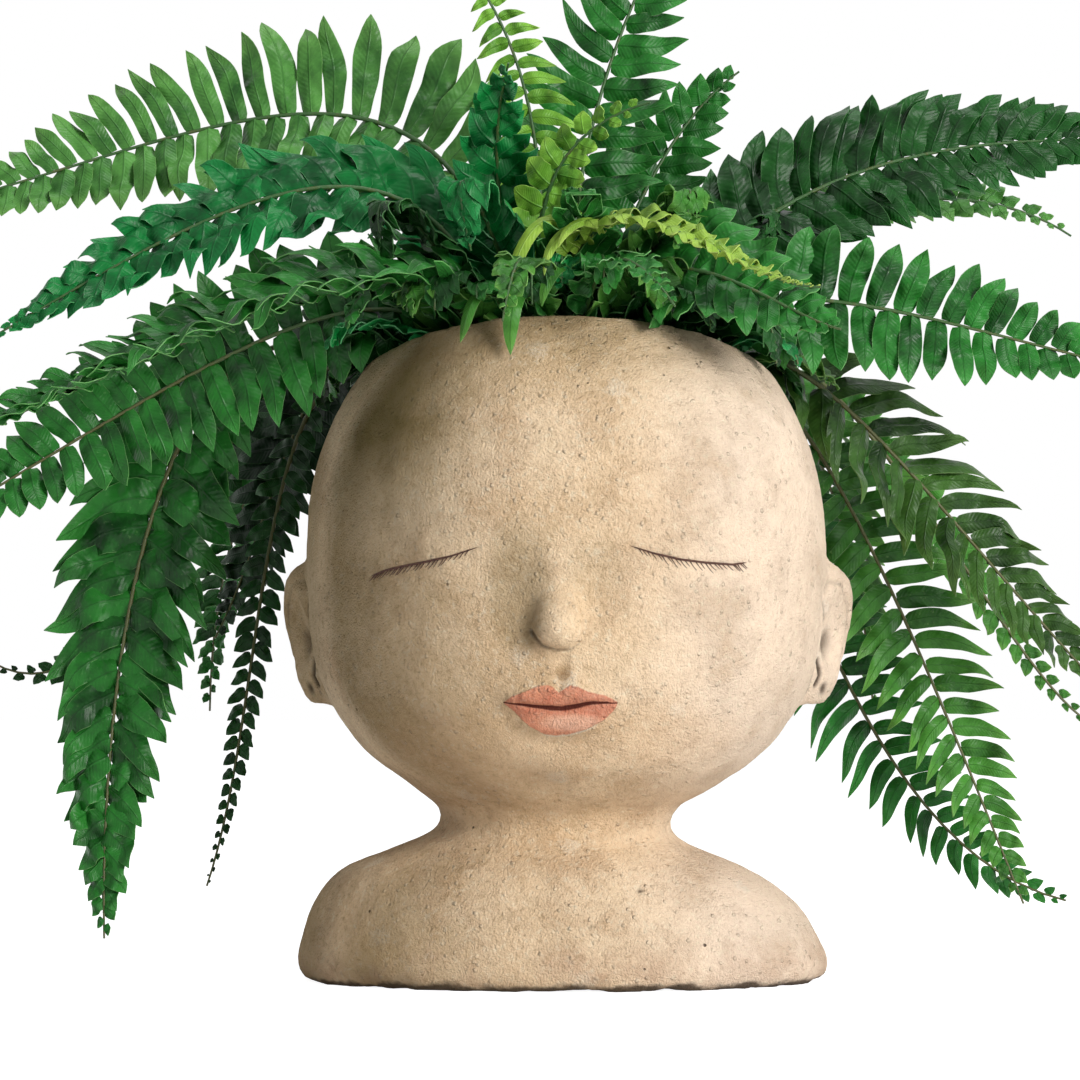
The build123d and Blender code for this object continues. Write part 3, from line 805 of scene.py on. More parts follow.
def makeEyeLines(values, head):
    skin = BVHTree.FromObject(head, bpy.context.evaluated_depsgraph_get())
    chance = random.Random(7)
    steep, easing, spread = values["lashTurn"]
    strands = []
    for name, thickness in (("lids", values["lidThickness"]), ("lashes", values["lashThickness"])):
        strand = addStrand(thickness, 1)
        strand.data.splines.clear()
        for eye in values["eyes"]:
            across, height = zip(*eye["line"])
            runs = np.linspace(0, 1, len(across))
            if name == "lids":
                shares = np.linspace(0, 1, 40)
                girths = np.interp(shares, *zip(*values["lidTaper"]))
                line = list(zip(np.interp(shares, runs, across), np.interp(shares, runs, height), girths))
                drawStroke(strand.data, skin, line, thickness, values["lidSink"])
                continue
            for number in range(values["lashes"]):
                share = 0.06 + 0.91 * (number + 0.6 * chance.random()) / values["lashes"]
                startAcross, startHeight = np.interp(share, runs, across), np.interp(share, runs, height)
                length = chance.uniform(*values["lashLengths"]) * (0.75 + 0.5 * math.sin(math.pi * share))
                turn = math.radians(steep - easing * share + spread * (chance.random() - 0.5))
                line = []
                for step in (0, 0.35, 0.7, 1):
                    bend = turn - values["lashBend"] * step
                    line.append((startAcross + eye["side"] * length * step * math.cos(bend),
                                 startHeight - length * step * math.sin(bend), 1 - 0.6 * step))
                drawStroke(strand.data, skin, line, thickness, values["lashSink"])
        strands.append(asMesh(strand))
    lines = joinAll(strands, "eye_lines")
    shadeSmooth(lines)
    finish = Finish("lidPaint")
    fleck = finish.noise(finish.place(), 900, 3, 0.7)
    body = finish.mix(fleck.ramp(0.35, 0.65), paint(52, 26, 20), paint(86, 54, 40))
    dress(lines, finish.close(Base_Color=body, Roughness=0.75))
    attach(lines, "planter")


makeEyeLines(faceValues, head)
print("eye lines drawn")


# Fern: leaflets are shaped once, copied along each midrib and bent to it

leafletValues = {
    "columns": 4,
    "rows": 14,
    "strap": [(0.0, 0.66), (0.08, 0.84), (0.22, 0.93), (0.42, 1.0), (0.60, 0.98), (0.74, 0.84), (0.86, 0.55),
              (0.94, 0.27), (1.0, 0.02)],
    "pointed": [(0.0, 0.56), (0.07, 0.86), (0.18, 1.0), (0.34, 0.99), (0.50, 0.91), (0.66, 0.74),
                (0.80, 0.52), (0.91, 0.26), (1.0, 0.02)],
    "round": [(0.0, 0.32), (0.09, 0.74), (0.26, 1.0), (0.50, 1.0), (0.72, 0.84), (0.88, 0.52), (1.0, 0.08)],
    "thickness": 0.00045,
}

fernValues = {
    "unit": 0.294,  # the head's height, which every route below is a share of
    "rootRise": 0.009,
    "stemThickness": 0.0031,
    "tipThickness": 0.0010,
    "seat": 0.0005,  # the leaflets lie this far above the middle of the midrib
    "pitch": 0.0132,
    "tipPitch": 0.60,  # the last leaflets stand this much closer
    "samples": 160,
    "cycles": 1.3,
    "spread": 1.26,
    "swell": (0.62, 2.2, 2.4, 0.05),  # of a frond's outline: at its root, growth, taper, and the least
    "lengths": (0.90, 0.16),  # a leaflet's share of the outline, and its spread
    "widths": (0.86, 0.24),  # the same for its width
    "widest": 0.8,  # of its length
    "ruffle": 0.11,
    "snake": 0.035,
    "tipLean": 34,  # degrees that the last leaflets lean on
    "unevenLean": 7,
    "stagger": 0.22,  # of a step, between the two sides
    "unevenStep": 0.16,
}

frondDefaults = {
    "shape": "pointed",
    "width": 0.92,  # of the pitch, before every leaflet is spread
    "lean": 8,  # degrees towards the tip
    "sweep": 0.18,
    "fold": 0.22,
    "curl": 0.20,
    "wave": 0.045,
    "fullness": (1.0, 1.0),
    "roll": 0.5,
    "pitch": 1.0,
}


def frondLook(root, path, facing, bare, reach, tone, **rest):
    return {**frondDefaults, "root": root, "path": path, "facing": facing, "bare": bare, "reach": reach,
            "tone": tone, **rest}


frondValues = {  # root in crown radii, places passed in head heights, facing, bare share, reach, tone, rest
    "frond_left_upper": frondLook(
        (-0.50, 0.28), [(-0.20, 0.20, 1.25), (-0.53, 0.27, 1.31), (-0.98, 0.22, 1.18)], (0, -1, 0.5), 0.30,
        0.168, "light", lean=3, width=0.84, shape="strap", wave=0.05, sweep=0.08, fullness=(0.86, 1.10),
        curl=0.12),
    "frond_left_middle": frondLook(
        (-0.57, -0.05), [(-0.22, 0.04, 1.16), (-0.51, 0.01, 1.16), (-0.86, -0.04, 0.97)], (0, -1, 0.8),
        0.30, 0.126, "emerald", lean=22, width=1.08, wave=0.10, sweep=0.35),
    "frond_left_front": frondLook(
        (-0.42, -0.42), [(-0.13, -0.14, 1.03), (-0.43, -0.25, 1.00), (-0.92, -0.33, 0.79)], (0, -0.35, 1),
        0.26, 0.128, "mid", lean=26, width=1.02, wave=0.08, sweep=0.45, fold=0.50, pitch=0.72),
    "frond_left_low": frondLook(
        (-0.64, -0.28), [(-0.22, -0.03, 1.00), (-0.51, -0.02, 0.94), (-0.96, -0.05, 0.68)], (0, -1, 0.35),
        0.30, 0.135, "mid", lean=-2, width=0.88, shape="strap", wave=0.05, sweep=0.12),
    "frond_left_hanging": frondLook(
        (-0.70, 0.10), [(-0.47, 0.12, 0.95), (-0.66, 0.09, 0.60), (-0.70, 0.02, 0.06)], (-0.25, -1, 0.1),
        0.36, 0.150, "mid", lean=14, width=1.20, wave=0.09, sweep=0.30),
    "frond_left_thin": frondLook(
        (-0.60, 0.36), [(-0.37, 0.26, 0.91), (-0.48, 0.24, 0.57), (-0.56, 0.20, 0.13)], (-0.3, -1, 0), 0.36,
        0.046, "deep", lean=24, width=0.66, pitch=0.78, wave=0.05),
    "frond_left_far": frondLook(
        (-0.52, 0.52), [(-0.44, 0.46, 0.93), (-0.68, 0.52, 0.61), (-0.93, 0.49, 0.47)], (-0.3, -1, 0.3),
        0.46, 0.070, "deep", lean=16),
    "frond_left_shaded": frondLook(
        (-0.38, 0.60), [(-0.31, 0.33, 0.98), (-0.45, 0.38, 0.80), (-0.56, 0.35, 0.51)], (-0.5, -1, 0.1),
        0.36, 0.110, "shaded", lean=10),
    "frond_top_slim": frondLook(
        (-0.20, 0.20), [(-0.04, 0.10, 0.98), (-0.05, 0.09, 1.27), (-0.16, 0.03, 1.54)], (0, -1, 0.1), 0.46,
        0.074, "spring", lean=-4, width=0.62, sweep=-0.35, pitch=0.76),
    "frond_top_curled": frondLook(
        (-0.32, -0.10), [(-0.07, -0.01, 0.98), (-0.10, -0.04, 1.19), (-0.08, -0.16, 1.37)], (0, -1, 0.3),
        0.46, 0.090, "emerald", lean=30, width=1.0, wave=0.08),
    "frond_top_tall": frondLook(
        (0.14, 0.14), [(0.00, 0.13, 1.01), (0.04, 0.19, 1.32), (0.19, 0.21, 1.67)], (0, -1, 0.1), 0.40,
        0.130, "mid", lean=8, width=0.86, wave=0.05),
    "frond_top_round": frondLook(
        (-0.06, -0.40), [(-0.04, -0.07, 1.02), (-0.01, -0.12, 1.21), (0.13, -0.18, 1.31)], (0, -1, 0.2),
        0.34, 0.058, "spring", lean=8, width=0.92, shape="round", pitch=0.92, wave=0.03, roll=0.9),
    "frond_top_back": frondLook(
        (0.02, 0.46), [(0.05, 0.20, 1.03), (0.14, 0.27, 1.25), (0.26, 0.29, 1.39)], (0, -1, 0.1), 0.42,
        0.110, "mid", lean=20),
    "frond_right_high": frondLook(
        (0.50, 0.06), [(0.19, 0.09, 1.05), (0.46, 0.14, 1.23), (0.90, 0.15, 1.27)], (0, -1, 0.5), 0.28,
        0.138, "deep", lean=16, width=1.08, shape="strap", pitch=0.80, wave=0.06, sweep=0.22, roll=0.9),
    "frond_right_pale": frondLook(
        (0.42, 0.40), [(0.18, 0.29, 1.04), (0.48, 0.40, 1.19), (0.78, 0.42, 1.14)], (0, -1, 0.8), 0.46,
        0.070, "light", lean=14),
    "frond_right_yellow": frondLook(
        (0.10, -0.56), [(0.04, -0.19, 1.11), (0.20, -0.29, 1.10), (0.38, -0.35, 1.03)], (0, -0.25, 1), 0.34,
        0.058, "yellow", lean=32, width=1.0, wave=0.10, fold=0.35, pitch=0.70),
    "frond_right_middle": frondLook(
        (0.62, -0.14), [(0.20, 0.00, 1.00), (0.48, -0.01, 1.01), (0.85, -0.02, 0.92)], (0, -1, 0.2), 0.36,
        0.112, "mid", lean=4, width=0.88, shape="strap", wave=0.08, sweep=0.10),
    "frond_right_front": frondLook(
        (0.34, -0.46), [(0.11, -0.14, 1.04), (0.26, -0.24, 1.04), (0.41, -0.31, 0.97)], (0.1, -1, 0.5),
        0.34, 0.118, "mid", lean=12, width=0.92, shape="strap", wave=0.07, roll=0.9),
    "frond_right_low": frondLook(
        (0.70, 0.08), [(0.27, 0.15, 0.95), (0.51, 0.18, 0.78), (0.82, 0.16, 0.43)], (0.4, -1, 0.3), 0.34,
        0.134, "olive", lean=22, width=0.62, wave=0.07, sweep=0.34, roll=1.2),
    "frond_right_hanging": frondLook(
        (0.66, 0.30), [(0.25, 0.27, 0.94), (0.46, 0.33, 0.66), (0.70, 0.29, 0.10)], (0.2, -1, 0.1), 0.36,
        0.128, "fresh", lean=8, width=0.66, wave=0.05, sweep=0.26, roll=0.8),
    "frond_right_trailing": frondLook(
        (0.50, 0.52), [(0.22, 0.35, 0.93), (0.41, 0.42, 0.48), (0.77, 0.38, 0.10)], (0.2, -1, 0.1), 0.36,
        0.124, "mid", lean=6, width=0.62, wave=0.05, sweep=0.28, roll=0.8),
    "frond_right_far": frondLook(
        (0.66, 0.50), [(0.33, 0.50, 0.96), (0.62, 0.63, 0.62), (0.85, 0.66, 0.36)], (0.3, -1, 0.3), 0.40,
        0.060, "fresh", lean=14),
    "frond_front_left": frondLook(
        (-0.22, -0.64), [(-0.04, -0.18, 1.02), (-0.06, -0.29, 1.07), (-0.08, -0.38, 0.98)], (0, -0.6, 1),
        0.44, 0.056, "fresh", lean=24, pitch=0.80),
    "frond_front_right": frondLook(
        (0.18, -0.68), [(0.04, -0.17, 1.02), (0.10, -0.31, 1.07), (0.17, -0.41, 1.00)], (0, -0.6, 1), 0.44,
        0.056, "mid", lean=24, pitch=0.80),
    "frond_back_left": frondLook(
        (-0.24, 0.66), [(-0.20, 0.36, 1.00), (-0.47, 0.70, 0.87), (-0.62, 0.94, 0.38)], (-0.6, 0.5, 1),
        0.34, 0.118, "mid"),
    "frond_back_middle": frondLook(
        (-0.06, 0.70), [(-0.03, 0.36, 1.03), (-0.05, 0.73, 0.89), (-0.03, 1.00, 0.37)], (0, 0.8, 1), 0.30,
        0.118, "emerald"),
    "frond_back_right": frondLook(
        (0.22, 0.68), [(0.17, 0.42, 0.98), (0.36, 0.74, 0.85), (0.48, 0.98, 0.38)], (0.6, 0.5, 1), 0.34,
        0.118, "fresh"),
    "frond_back_low_left": frondLook(
        (-0.36, 0.74), [(-0.14, 0.38, 0.89), (-0.21, 0.57, 0.60), (-0.18, 0.62, 0.35)], (-0.3, 1, 0.2),
        0.36, 0.086, "mid"),
    "frond_back_low_right": frondLook(
        (0.36, 0.74), [(0.14, 0.39, 0.89), (0.20, 0.58, 0.60), (0.18, 0.63, 0.35)], (0.3, 1, 0.2), 0.36,
        0.086, "deep"),
}

toneValues = {  # dark and light of the blade, its tips, its cut edge, and the record's slot
    "light": ((28, 81, 28), (87, 148, 68), (119, 173, 89), (150, 194, 117), "leaf_light"),
    "spring": ((51, 106, 29), (123, 180, 62), (156, 200, 81), (187, 220, 119), "leaf_light"),
    "yellow": ((91, 134, 38), (147, 182, 69), (172, 198, 96), (194, 210, 125), "leaf_yellow"),
    "emerald": ((5, 58, 26), (17, 123, 55), (42, 151, 81), (119, 187, 129), "leaf_emerald"),
    "mid": ((9, 48, 14), (38, 116, 40), (69, 146, 65), (137, 188, 119), "leaf_mid"),
    "fresh": ((25, 71, 20), (68, 132, 48), (117, 172, 77), (152, 194, 119), "leaf_mid"),
    "deep": ((7, 32, 11), (19, 75, 21), (44, 104, 46), (108, 156, 102), "leaf_dark"),
    "olive": ((17, 42, 13), (56, 94, 35), (92, 129, 60), (129, 162, 100), "leaf_mid"),
    "shaded": ((7, 23, 12), (11, 47, 16), (29, 74, 31), (85, 132, 78), "leaf_dark"),
}


def shapeLeaflet(name, outline, values):  # a grid drawn in row by row to the leaflet's outline
    leaflet = addObject(bpy.ops.mesh.primitive_grid_add, x_subdivisions=values["columns"],
                        y_subdivisions=values["rows"], size=1, location=(0, 0.5, 0))
    leaflet.name = name
    applyPlace(leaflet)
    points = pointsOf(leaflet)
    outlineShares, outlineWidths = zip(*outline)
    for row in np.unique(points[:, 1].round(5)):
        width = float(np.interp(row, outlineShares, outlineWidths))
        inRow = np.abs(points[:, 1] - row) < 1e-4
        selectWhere(leaflet, inRow)
        inEditMode(bpy.ops.transform.resize, value=(width, 1, 1), center_override=(0, float(row), 0))
    return leaflet


def meshParts(piece):  # the shape to be copied: points, faces and the map's corners
    mesh = piece.data
    corners = np.empty(len(mesh.loops) * 2)
    mesh.uv_layers.active.data.foreach_get("uv", corners)
    return pointsOf(piece), [list(face.vertices) for face in mesh.polygons], corners.reshape(-1, 2)


def bendLeaflet(shape, length, width, look, side, chance):  # across, along and up of one leaflet
    along = shape[:, 1]
    across = shape[:, 0] * width
    sway = side * look["sweep"] * length * along**2 * (0.6 + 0.8 * chance.random())
    phase = chance.random()
    size = 1.35 * look["wave"] * length * (0.5 + chance.random())
    wave = size * np.sin(2 * math.pi * (fernValues["cycles"] * along + phase)) * along**0.6
    turned = (chance.random() - 0.5) * 1.2 * along + (chance.random() - 0.5) * look["roll"]
    twist = shape[:, 0] * width * turned
    cup = -0.25 * np.abs(shape[:, 0]) * width * 2 * (1 - along)
    edge = shape[:, 0] * 2
    turns = 2.2 * along + chance.random() + 0.25 * edge
    ruffle = fernValues["ruffle"] * width * np.sin(2 * math.pi * turns) * edge
    snake = fernValues["snake"] * length * np.sin(2 * math.pi * (0.9 * along + chance.random())) * along
    rise = look["fold"] * (0.8 + 0.4 * chance.random()) * length * along
    droop = look["curl"] * length * along**2
    upward = rise - droop + wave + twist + cup + ruffle + fernValues["seat"]
    return across + sway + snake, along * length * 0.985, upward


def throughPoints(root, first, second, tip):  # the cubic that passes its points at thirds of its run
    bendOne = root * (-5 / 6) + first * 3 - second * 1.5 + tip / 3
    bendTwo = root / 3 - first * 1.5 + second * 3 - tip * (5 / 6)
    return np.array([root, bendOne, bendTwo, tip])


def makeRoute(values):
    crownLow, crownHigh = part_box("fern_crown")
    crownRadius = (crownHigh.x - crownLow.x) / 2
    middle = (crownLow + crownHigh) / 2
    root = np.array([middle.x + values["root"][0] * crownRadius, middle.y + values["root"][1] * crownRadius,
                     crownLow.z + fernValues["rootRise"]])
    passed = [np.array(point) * fernValues["unit"] for point in values["path"]]
    return throughPoints(root, *passed)


def alongRoute(route, share):  # place and direction at shares of the cubic
    share = np.asarray(share)[:, None]
    rest = 1 - share
    place = (rest**3 * route[0] + 3 * rest**2 * share * route[1] + 3 * rest * share**2 * route[2]
             + share**3 * route[3])
    ahead = (3 * rest**2 * (route[1] - route[0]) + 6 * rest * share * (route[2] - route[1])
             + 3 * share**2 * (route[3] - route[2]))
    return place, ahead / np.linalg.norm(ahead, axis=1)[:, None]


def bendToRoute(flat, route, facing):  # along, across and up become the fern's own space
    shares = np.linspace(0, 1, fernValues["samples"] + 1)
    places, _ = alongRoute(route, shares)
    lengths = np.concatenate([[0], np.cumsum(np.linalg.norm(np.diff(places, axis=0), axis=1))])
    place, ahead = alongRoute(route, np.interp(flat[:, 0], lengths, shares))
    beyond = np.maximum(flat[:, 0] - lengths[-1], 0)[:, None]
    across = np.cross(np.array(facing, float), ahead)
    across /= np.linalg.norm(across, axis=1)[:, None]
    upward = np.cross(ahead, across)
    return place + ahead * beyond + across * flat[:, 1:2] + upward * flat[:, 2:3]


def routeLength(route):
    places, _ = alongRoute(route, np.linspace(0, 1, fernValues["samples"] + 1))
    return float(np.linalg.norm(np.diff(places, axis=0), axis=1).sum())


def leafyPiece(name, points, faces, corners, tones):
    piece = pieceFrom(name, points, faces)
    piece.data.uv_layers.new(name="leafMap").data.foreach_set("uv", corners.ravel())
    keepValues(piece, "tone", tones)
    applyModifier(piece, "SOLIDIFY", thickness=leafletValues["thickness"], offset=0)
    return piece


def makeBlade(name, route, look, number):  # all leaflets of one frond
    chance = random.Random(number)
    shape, faces, corners = leafletParts[look["shape"]]
    total = routeLength(route)
    start = look["bare"] * total
    reach = look["reach"] * fernValues["unit"]
    pitch = fernValues["pitch"] * look["pitch"]
    atRoot, growth, taper, least = fernValues["swell"]
    (shortest, longer), (slimmest, wider) = fernValues["lengths"], fernValues["widths"]
    points, polygons, maps, tones = [], [], [], []
    station = start
    while station < total - 0.3 * pitch:
        grown = (station - start) / (total - start)
        step = pitch * (1 - (1 - fernValues["tipPitch"]) * grown)
        swell = min(1, atRoot + growth * grown) * (1 - grown**taper) + least
        for side in (-1, 1):
            length = reach * swell * (shortest + longer * chance.random())
            fullness = look["fullness"][0 if side < 0 else 1] * fernValues["spread"]
            width = step * look["width"] * fullness * (slimmest + wider * chance.random())
            width = min(width, length * fernValues["widest"])
            lean = math.radians(look["lean"] + fernValues["tipLean"] * grown**3
                                + fernValues["unevenLean"] * (chance.random() - 0.5))
            across, along, upward = bendLeaflet(shape, length, width, look, side, chance)
            uneven = fernValues["unevenStep"] * (chance.random() - 0.5)
            shift = station + step * (fernValues["stagger"] * side + uneven)
            flat = np.empty((len(shape), 3))
            flat[:, 0] = shift + along * math.sin(lean) + side * across * math.cos(lean)
            flat[:, 1] = side * (along * math.cos(lean) + 0.0006) - across * math.sin(lean)
            flat[:, 2] = upward
            first = len(points) * len(shape)
            points.append(flat)
            polygons += [[first + corner for corner in face] for face in faces]
            maps.append(corners)
            tones.append(np.full(len(shape), 0.25 + 0.5 * chance.random() + 0.25 * grown))
        station += step
    bent = bendToRoute(np.concatenate(points), route, look["facing"])
    return leafyPiece(name, bent, polygons, np.concatenate(maps), np.concatenate(tones))


def makeStem(name, route):  # the midrib, from inside the crown to the tip
    stem = addStrand(fernValues["stemThickness"], 2)
    stem.name = name
    first, last = stem.data.splines[0].bezier_points
    for point in (first, last):
        point.handle_left_type = point.handle_right_type = "FREE"
    first.co, first.handle_right = route[0], route[1]
    first.handle_left = 2 * route[0] - route[1]
    last.handle_left, last.co = route[2], route[3]
    last.handle_right = 2 * route[3] - route[2]
    first.radius, last.radius = 1.0, fernValues["tipThickness"] / fernValues["stemThickness"]
    stem.data.resolution_u = 40
    return asMesh(stem)


def leafFinish(name, tone):
    dark, light, tip, edge = (paint(*colour) for colour in tone[:-1])
    finish = Finish(name)
    corners = finish.node("ShaderNodeUVMap", {"uv_map": "leafMap"})
    split = finish.node("ShaderNodeSeparateXYZ", {}, {"Vector": corners})
    away = abs(split - 0.5) * 2
    along = split.out(1)
    place = finish.place()
    mottle = finish.noise(place, 75, 4, 0.62)
    fine = finish.noise(place, 420, 3, 0.6)
    share = finish.node("ShaderNodeAttribute", {"attribute_name": "tone"}, output=2)
    body = finish.mix((mottle * 1.5 + share * 0.80 - 0.68).ramp(0.0, 1.0), dark, light)
    body = finish.mix(along.ramp(0.55, 1.05) * (0.25 + 0.5 * mottle), body, tip)
    body = finish.mix(fine.ramp(0.62, 0.75) * 0.18, body, edge)
    body = finish.mix(away.ramp(0.07, 0.01) * 0.35, body, dark)
    body = finish.mix(away.ramp(0.955, 0.99) * 0.40, body, edge)
    veins = ((along * 17 - away * 2.0) * 6.283).sine() * away.ramp(0.02, 0.2) * away.ramp(1.0, 0.85)
    blister = finish.noise(place, 85, 1, 0.5)
    relief = blister * 1.4 + veins * 0.012 + away.ramp(0.12, 0.0) * 0.07 + fine * 0.03
    normal = finish.bump(relief, 0.0034)
    return finish.close(Base_Color=body, Roughness=0.27 + 0.24 * mottle, Normal=normal,
                        Specular_IOR_Level=0.20)


def stemFinish():
    finish = Finish("fernStem")
    place = finish.place()
    height = finish.node("ShaderNodeSeparateXYZ", {}, {"Vector": place}).out(2)
    fleck = finish.noise(place, 260, 3, 0.6)
    body = finish.mix(height.ramp(0.25, 0.31), paint(74, 78, 36), paint(44, 84, 34))
    body = finish.mix(fleck.ramp(0.5, 0.7) * 0.5, body, paint(88, 78, 38))
    return finish.close(Base_Color=body, Roughness=0.5, Normal=finish.bump(fleck, 0.0004))


leafletParts = {}
for shapeName in ("pointed", "strap", "round"):
    leaflet = shapeLeaflet(shapeName + "Leaflet", leafletValues[shapeName], leafletValues)
    leafletParts[shapeName] = meshParts(leaflet)
    bpy.data.objects.remove(leaflet)

toneFinishes = {name: leafFinish(name + "Leaf", tone) for name, tone in toneValues.items()}
stemMaterial = stemFinish()


def growFrond(name, look, number):
    route = makeRoute(look)
    blade = makeBlade(name + "_blade", route, look, number)
    dress(blade, toneFinishes[look["tone"]])
    stem = makeStem(name + "_stem", route)
    dress(stem, stemMaterial)
    return joinAll([blade, stem], name)


def makeFrond(name, look, number):
    frond = growFrond(name + "_leaves", look, number)
    shadeSmooth(frond, 50)
    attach(frond, "fern")
    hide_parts(name)


for number, (name, look) in enumerate(frondValues.items()):
    makeFrond(name, look, number)
print("fronds grown:", len(frondValues))


# Crown leaves: the short young fronds that hide the pot and lap over the head's rim

crownValues = {
    "skirt": {"count": 20, "arc": (150, 390), "rise": (0.006, 0.020), "reachOut": (0.016, 0.036),
              "drop": (-0.012, 0.004), "leaf": (0.096, 0.124), "foot": 0.42},
    "tuft": {"count": 12, "arc": (0, 360), "rise": (0.030, 0.052), "reachOut": (-0.006, 0.022),
             "drop": (0.022, 0.050), "leaf": (0.090, 0.120), "foot": 0.26},
    "frontLift": 0.012,  # over the forehead the tips stay this much higher, so that the rim shows
    "tones": ("mid", "deep", "emerald", "mid", "fresh", "deep"),
    "rimFront": 0.062,
    "rimHeight": 0.293,
    "rimSlope": 19.5,
    "rimReach": (0.072, 0.086),  # from the pot's middle, to the front and to the sides
}


def crownLook(values, kind, turn, tone, chance):  # a short frond that leaves the crown at a turn
    ahead = np.array([math.cos(turn), math.sin(turn), 0])
    crownLow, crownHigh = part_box("fern_crown")
    middle = np.array([(crownLow.x + crownHigh.x) / 2, (crownLow.y + crownHigh.y) / 2, 0])
    front, side = values["rimReach"]
    edge = front + (side - front) * abs(math.cos(turn))
    place = middle + ahead * edge
    rim = values["rimHeight"] - math.tan(math.radians(values["rimSlope"])) * (place[1] + values["rimFront"])
    first = middle + ahead * edge * kind["foot"] + (0, 0, crownHigh.z + 0.55 * (rim - crownHigh.z))
    second = middle + ahead * edge * 0.92 + (0, 0, rim + chance.uniform(*kind["rise"]))
    sideways = abs(math.cos(turn))
    beyond = chance.uniform(*kind["reachOut"]) * (0.1 + 0.9 * sideways)
    drop = chance.uniform(*kind["drop"]) + values["frontLift"] * (1 - sideways)
    tip = middle + ahead * (edge + beyond) + (0, 0, rim + drop)
    unit = fernValues["unit"]
    return frondLook((0.5 * ahead[0], 0.5 * ahead[1]), [first / unit, second / unit, tip / unit],
                     (0.4 * ahead[0], 0.4 * ahead[1], 1), 0.34, chance.uniform(*kind["leaf"]), tone,
                     lean=20 + 18 * chance.random(), width=0.88, shape="strap", pitch=0.86, wave=0.06,
                     sweep=0.34, fold=0.12, curl=0.26, roll=0.9)


def makeCrownLeaves(values):
    chance = random.Random(41)
    grown = {tone: [] for tone in values["tones"]}
    number = 100
    for kindName in ("skirt", "tuft"):
        kind = values[kindName]
        first, last = (math.radians(turn) for turn in kind["arc"])
        for step in range(kind["count"]):
            turn = first + (last - first) * (step + 0.5 * chance.random()) / kind["count"]
            tone = values["tones"][number % len(values["tones"])]
            look = crownLook(values, kind, turn, tone, chance)
            grown[tone].append(growFrond(f"young_{number}", look, number))
            number += 1
    for tone, fronds in grown.items():
        leaves = joinAll(fronds, f"crown_leaves_{tone}")
        shadeSmooth(leaves, 50)
        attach(leaves, "fern")


makeCrownLeaves(crownValues)
print("crown leaves grown")

frontLeafValues = {  # single leaves that hang over the rim in front: route, width, and the way they face
    "yellow": [
        ([(0.004, -0.052, 0.326), (-0.008, -0.061, 0.333), (-0.0185, -0.068, 0.318),
          (-0.0228, -0.075, 0.2950)], 0.0062, (-0.3, -1, 0.3)),
        ([(0.020, -0.062, 0.332), (0.010, -0.068, 0.333), (0.003, -0.072, 0.329),
          (-0.001, -0.075, 0.321)], 0.0046, (-0.3, -1, 0.6)),
        ([(0.014, -0.060, 0.330), (0.004, -0.066, 0.330), (-0.004, -0.071, 0.322),
          (-0.007, -0.074, 0.309)], 0.0050, (-0.3, -1, 0.5)),
    ],
    "fresh": [
        ([(-0.012, -0.058, 0.302), (-0.0185, -0.071, 0.301), (-0.0212, -0.0785, 0.289),
          (-0.0212, -0.0850, 0.2745)], 0.0074, (0.1, -1, 0.2)),
        ([(-0.030, -0.058, 0.303), (-0.0370, -0.069, 0.300), (-0.0405, -0.0755, 0.291),
          (-0.0430, -0.0815, 0.2800)], 0.0056, (-0.4, -1, 0.2)),
        ([(0.010, -0.060, 0.312), (0.000, -0.068, 0.314), (-0.006, -0.073, 0.306),
          (-0.008, -0.0765, 0.2955)], 0.0060, (-0.2, -1, 0.4)),
    ],
}


def makeFrontLeaves(leafValues):
    shape, faces, corners = leafletParts["strap"]
    for tone, leaves in leafValues.items():
        made = []
        for number, (points, width, facing) in enumerate(leaves):
            route = throughPoints(*(np.array(point) for point in points))
            flat = np.empty((len(shape), 3))
            flat[:, 0] = shape[:, 1] * routeLength(route) * 0.999
            flat[:, 1] = shape[:, 0] * width
            flat[:, 2] = -np.abs(shape[:, 0]) * width * 0.35
            leaf = leafyPiece(f"front_leaf_{number}", bendToRoute(flat, route, facing), faces, corners,
                              np.full(len(shape), 0.7))
            dress(leaf, toneFinishes[tone])
            made.append(leaf)
        leaves = joinAll(made, f"front_leaves_{tone}")
        shadeSmooth(leaves, 50)
        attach(leaves, "fern")


makeFrontLeaves(frontLeafValues)
print("front leaves hung")


# Pot, mix and crown: what shows when the fern is lifted out

soilValues = {
    "voxel": 0.0022,
    "inset": 0.992,
    "topDepth": 0.0015,
    "lumpSize": 0.0055,
    "lumpHeight": 0.0045,
    "crumbs": 220,
    "grains": 34,  # pale mineral grains among the crumbs
    "crumbSize": (0.0010, 0.0024),
    "crumbRise": 0.0004,
    "wallGap": 0.003,  # no crumb lies nearer to the pot's wall
}


def scatter(count, radii, level, chance):
    for _ in range(count):
        turn = chance.uniform(0, 2 * math.pi)
        radius = math.sqrt(chance.uniform(radii[0] ** 2, radii[1] ** 2))
        yield Vector((radius * math.cos(turn), radius * math.sin(turn), level))


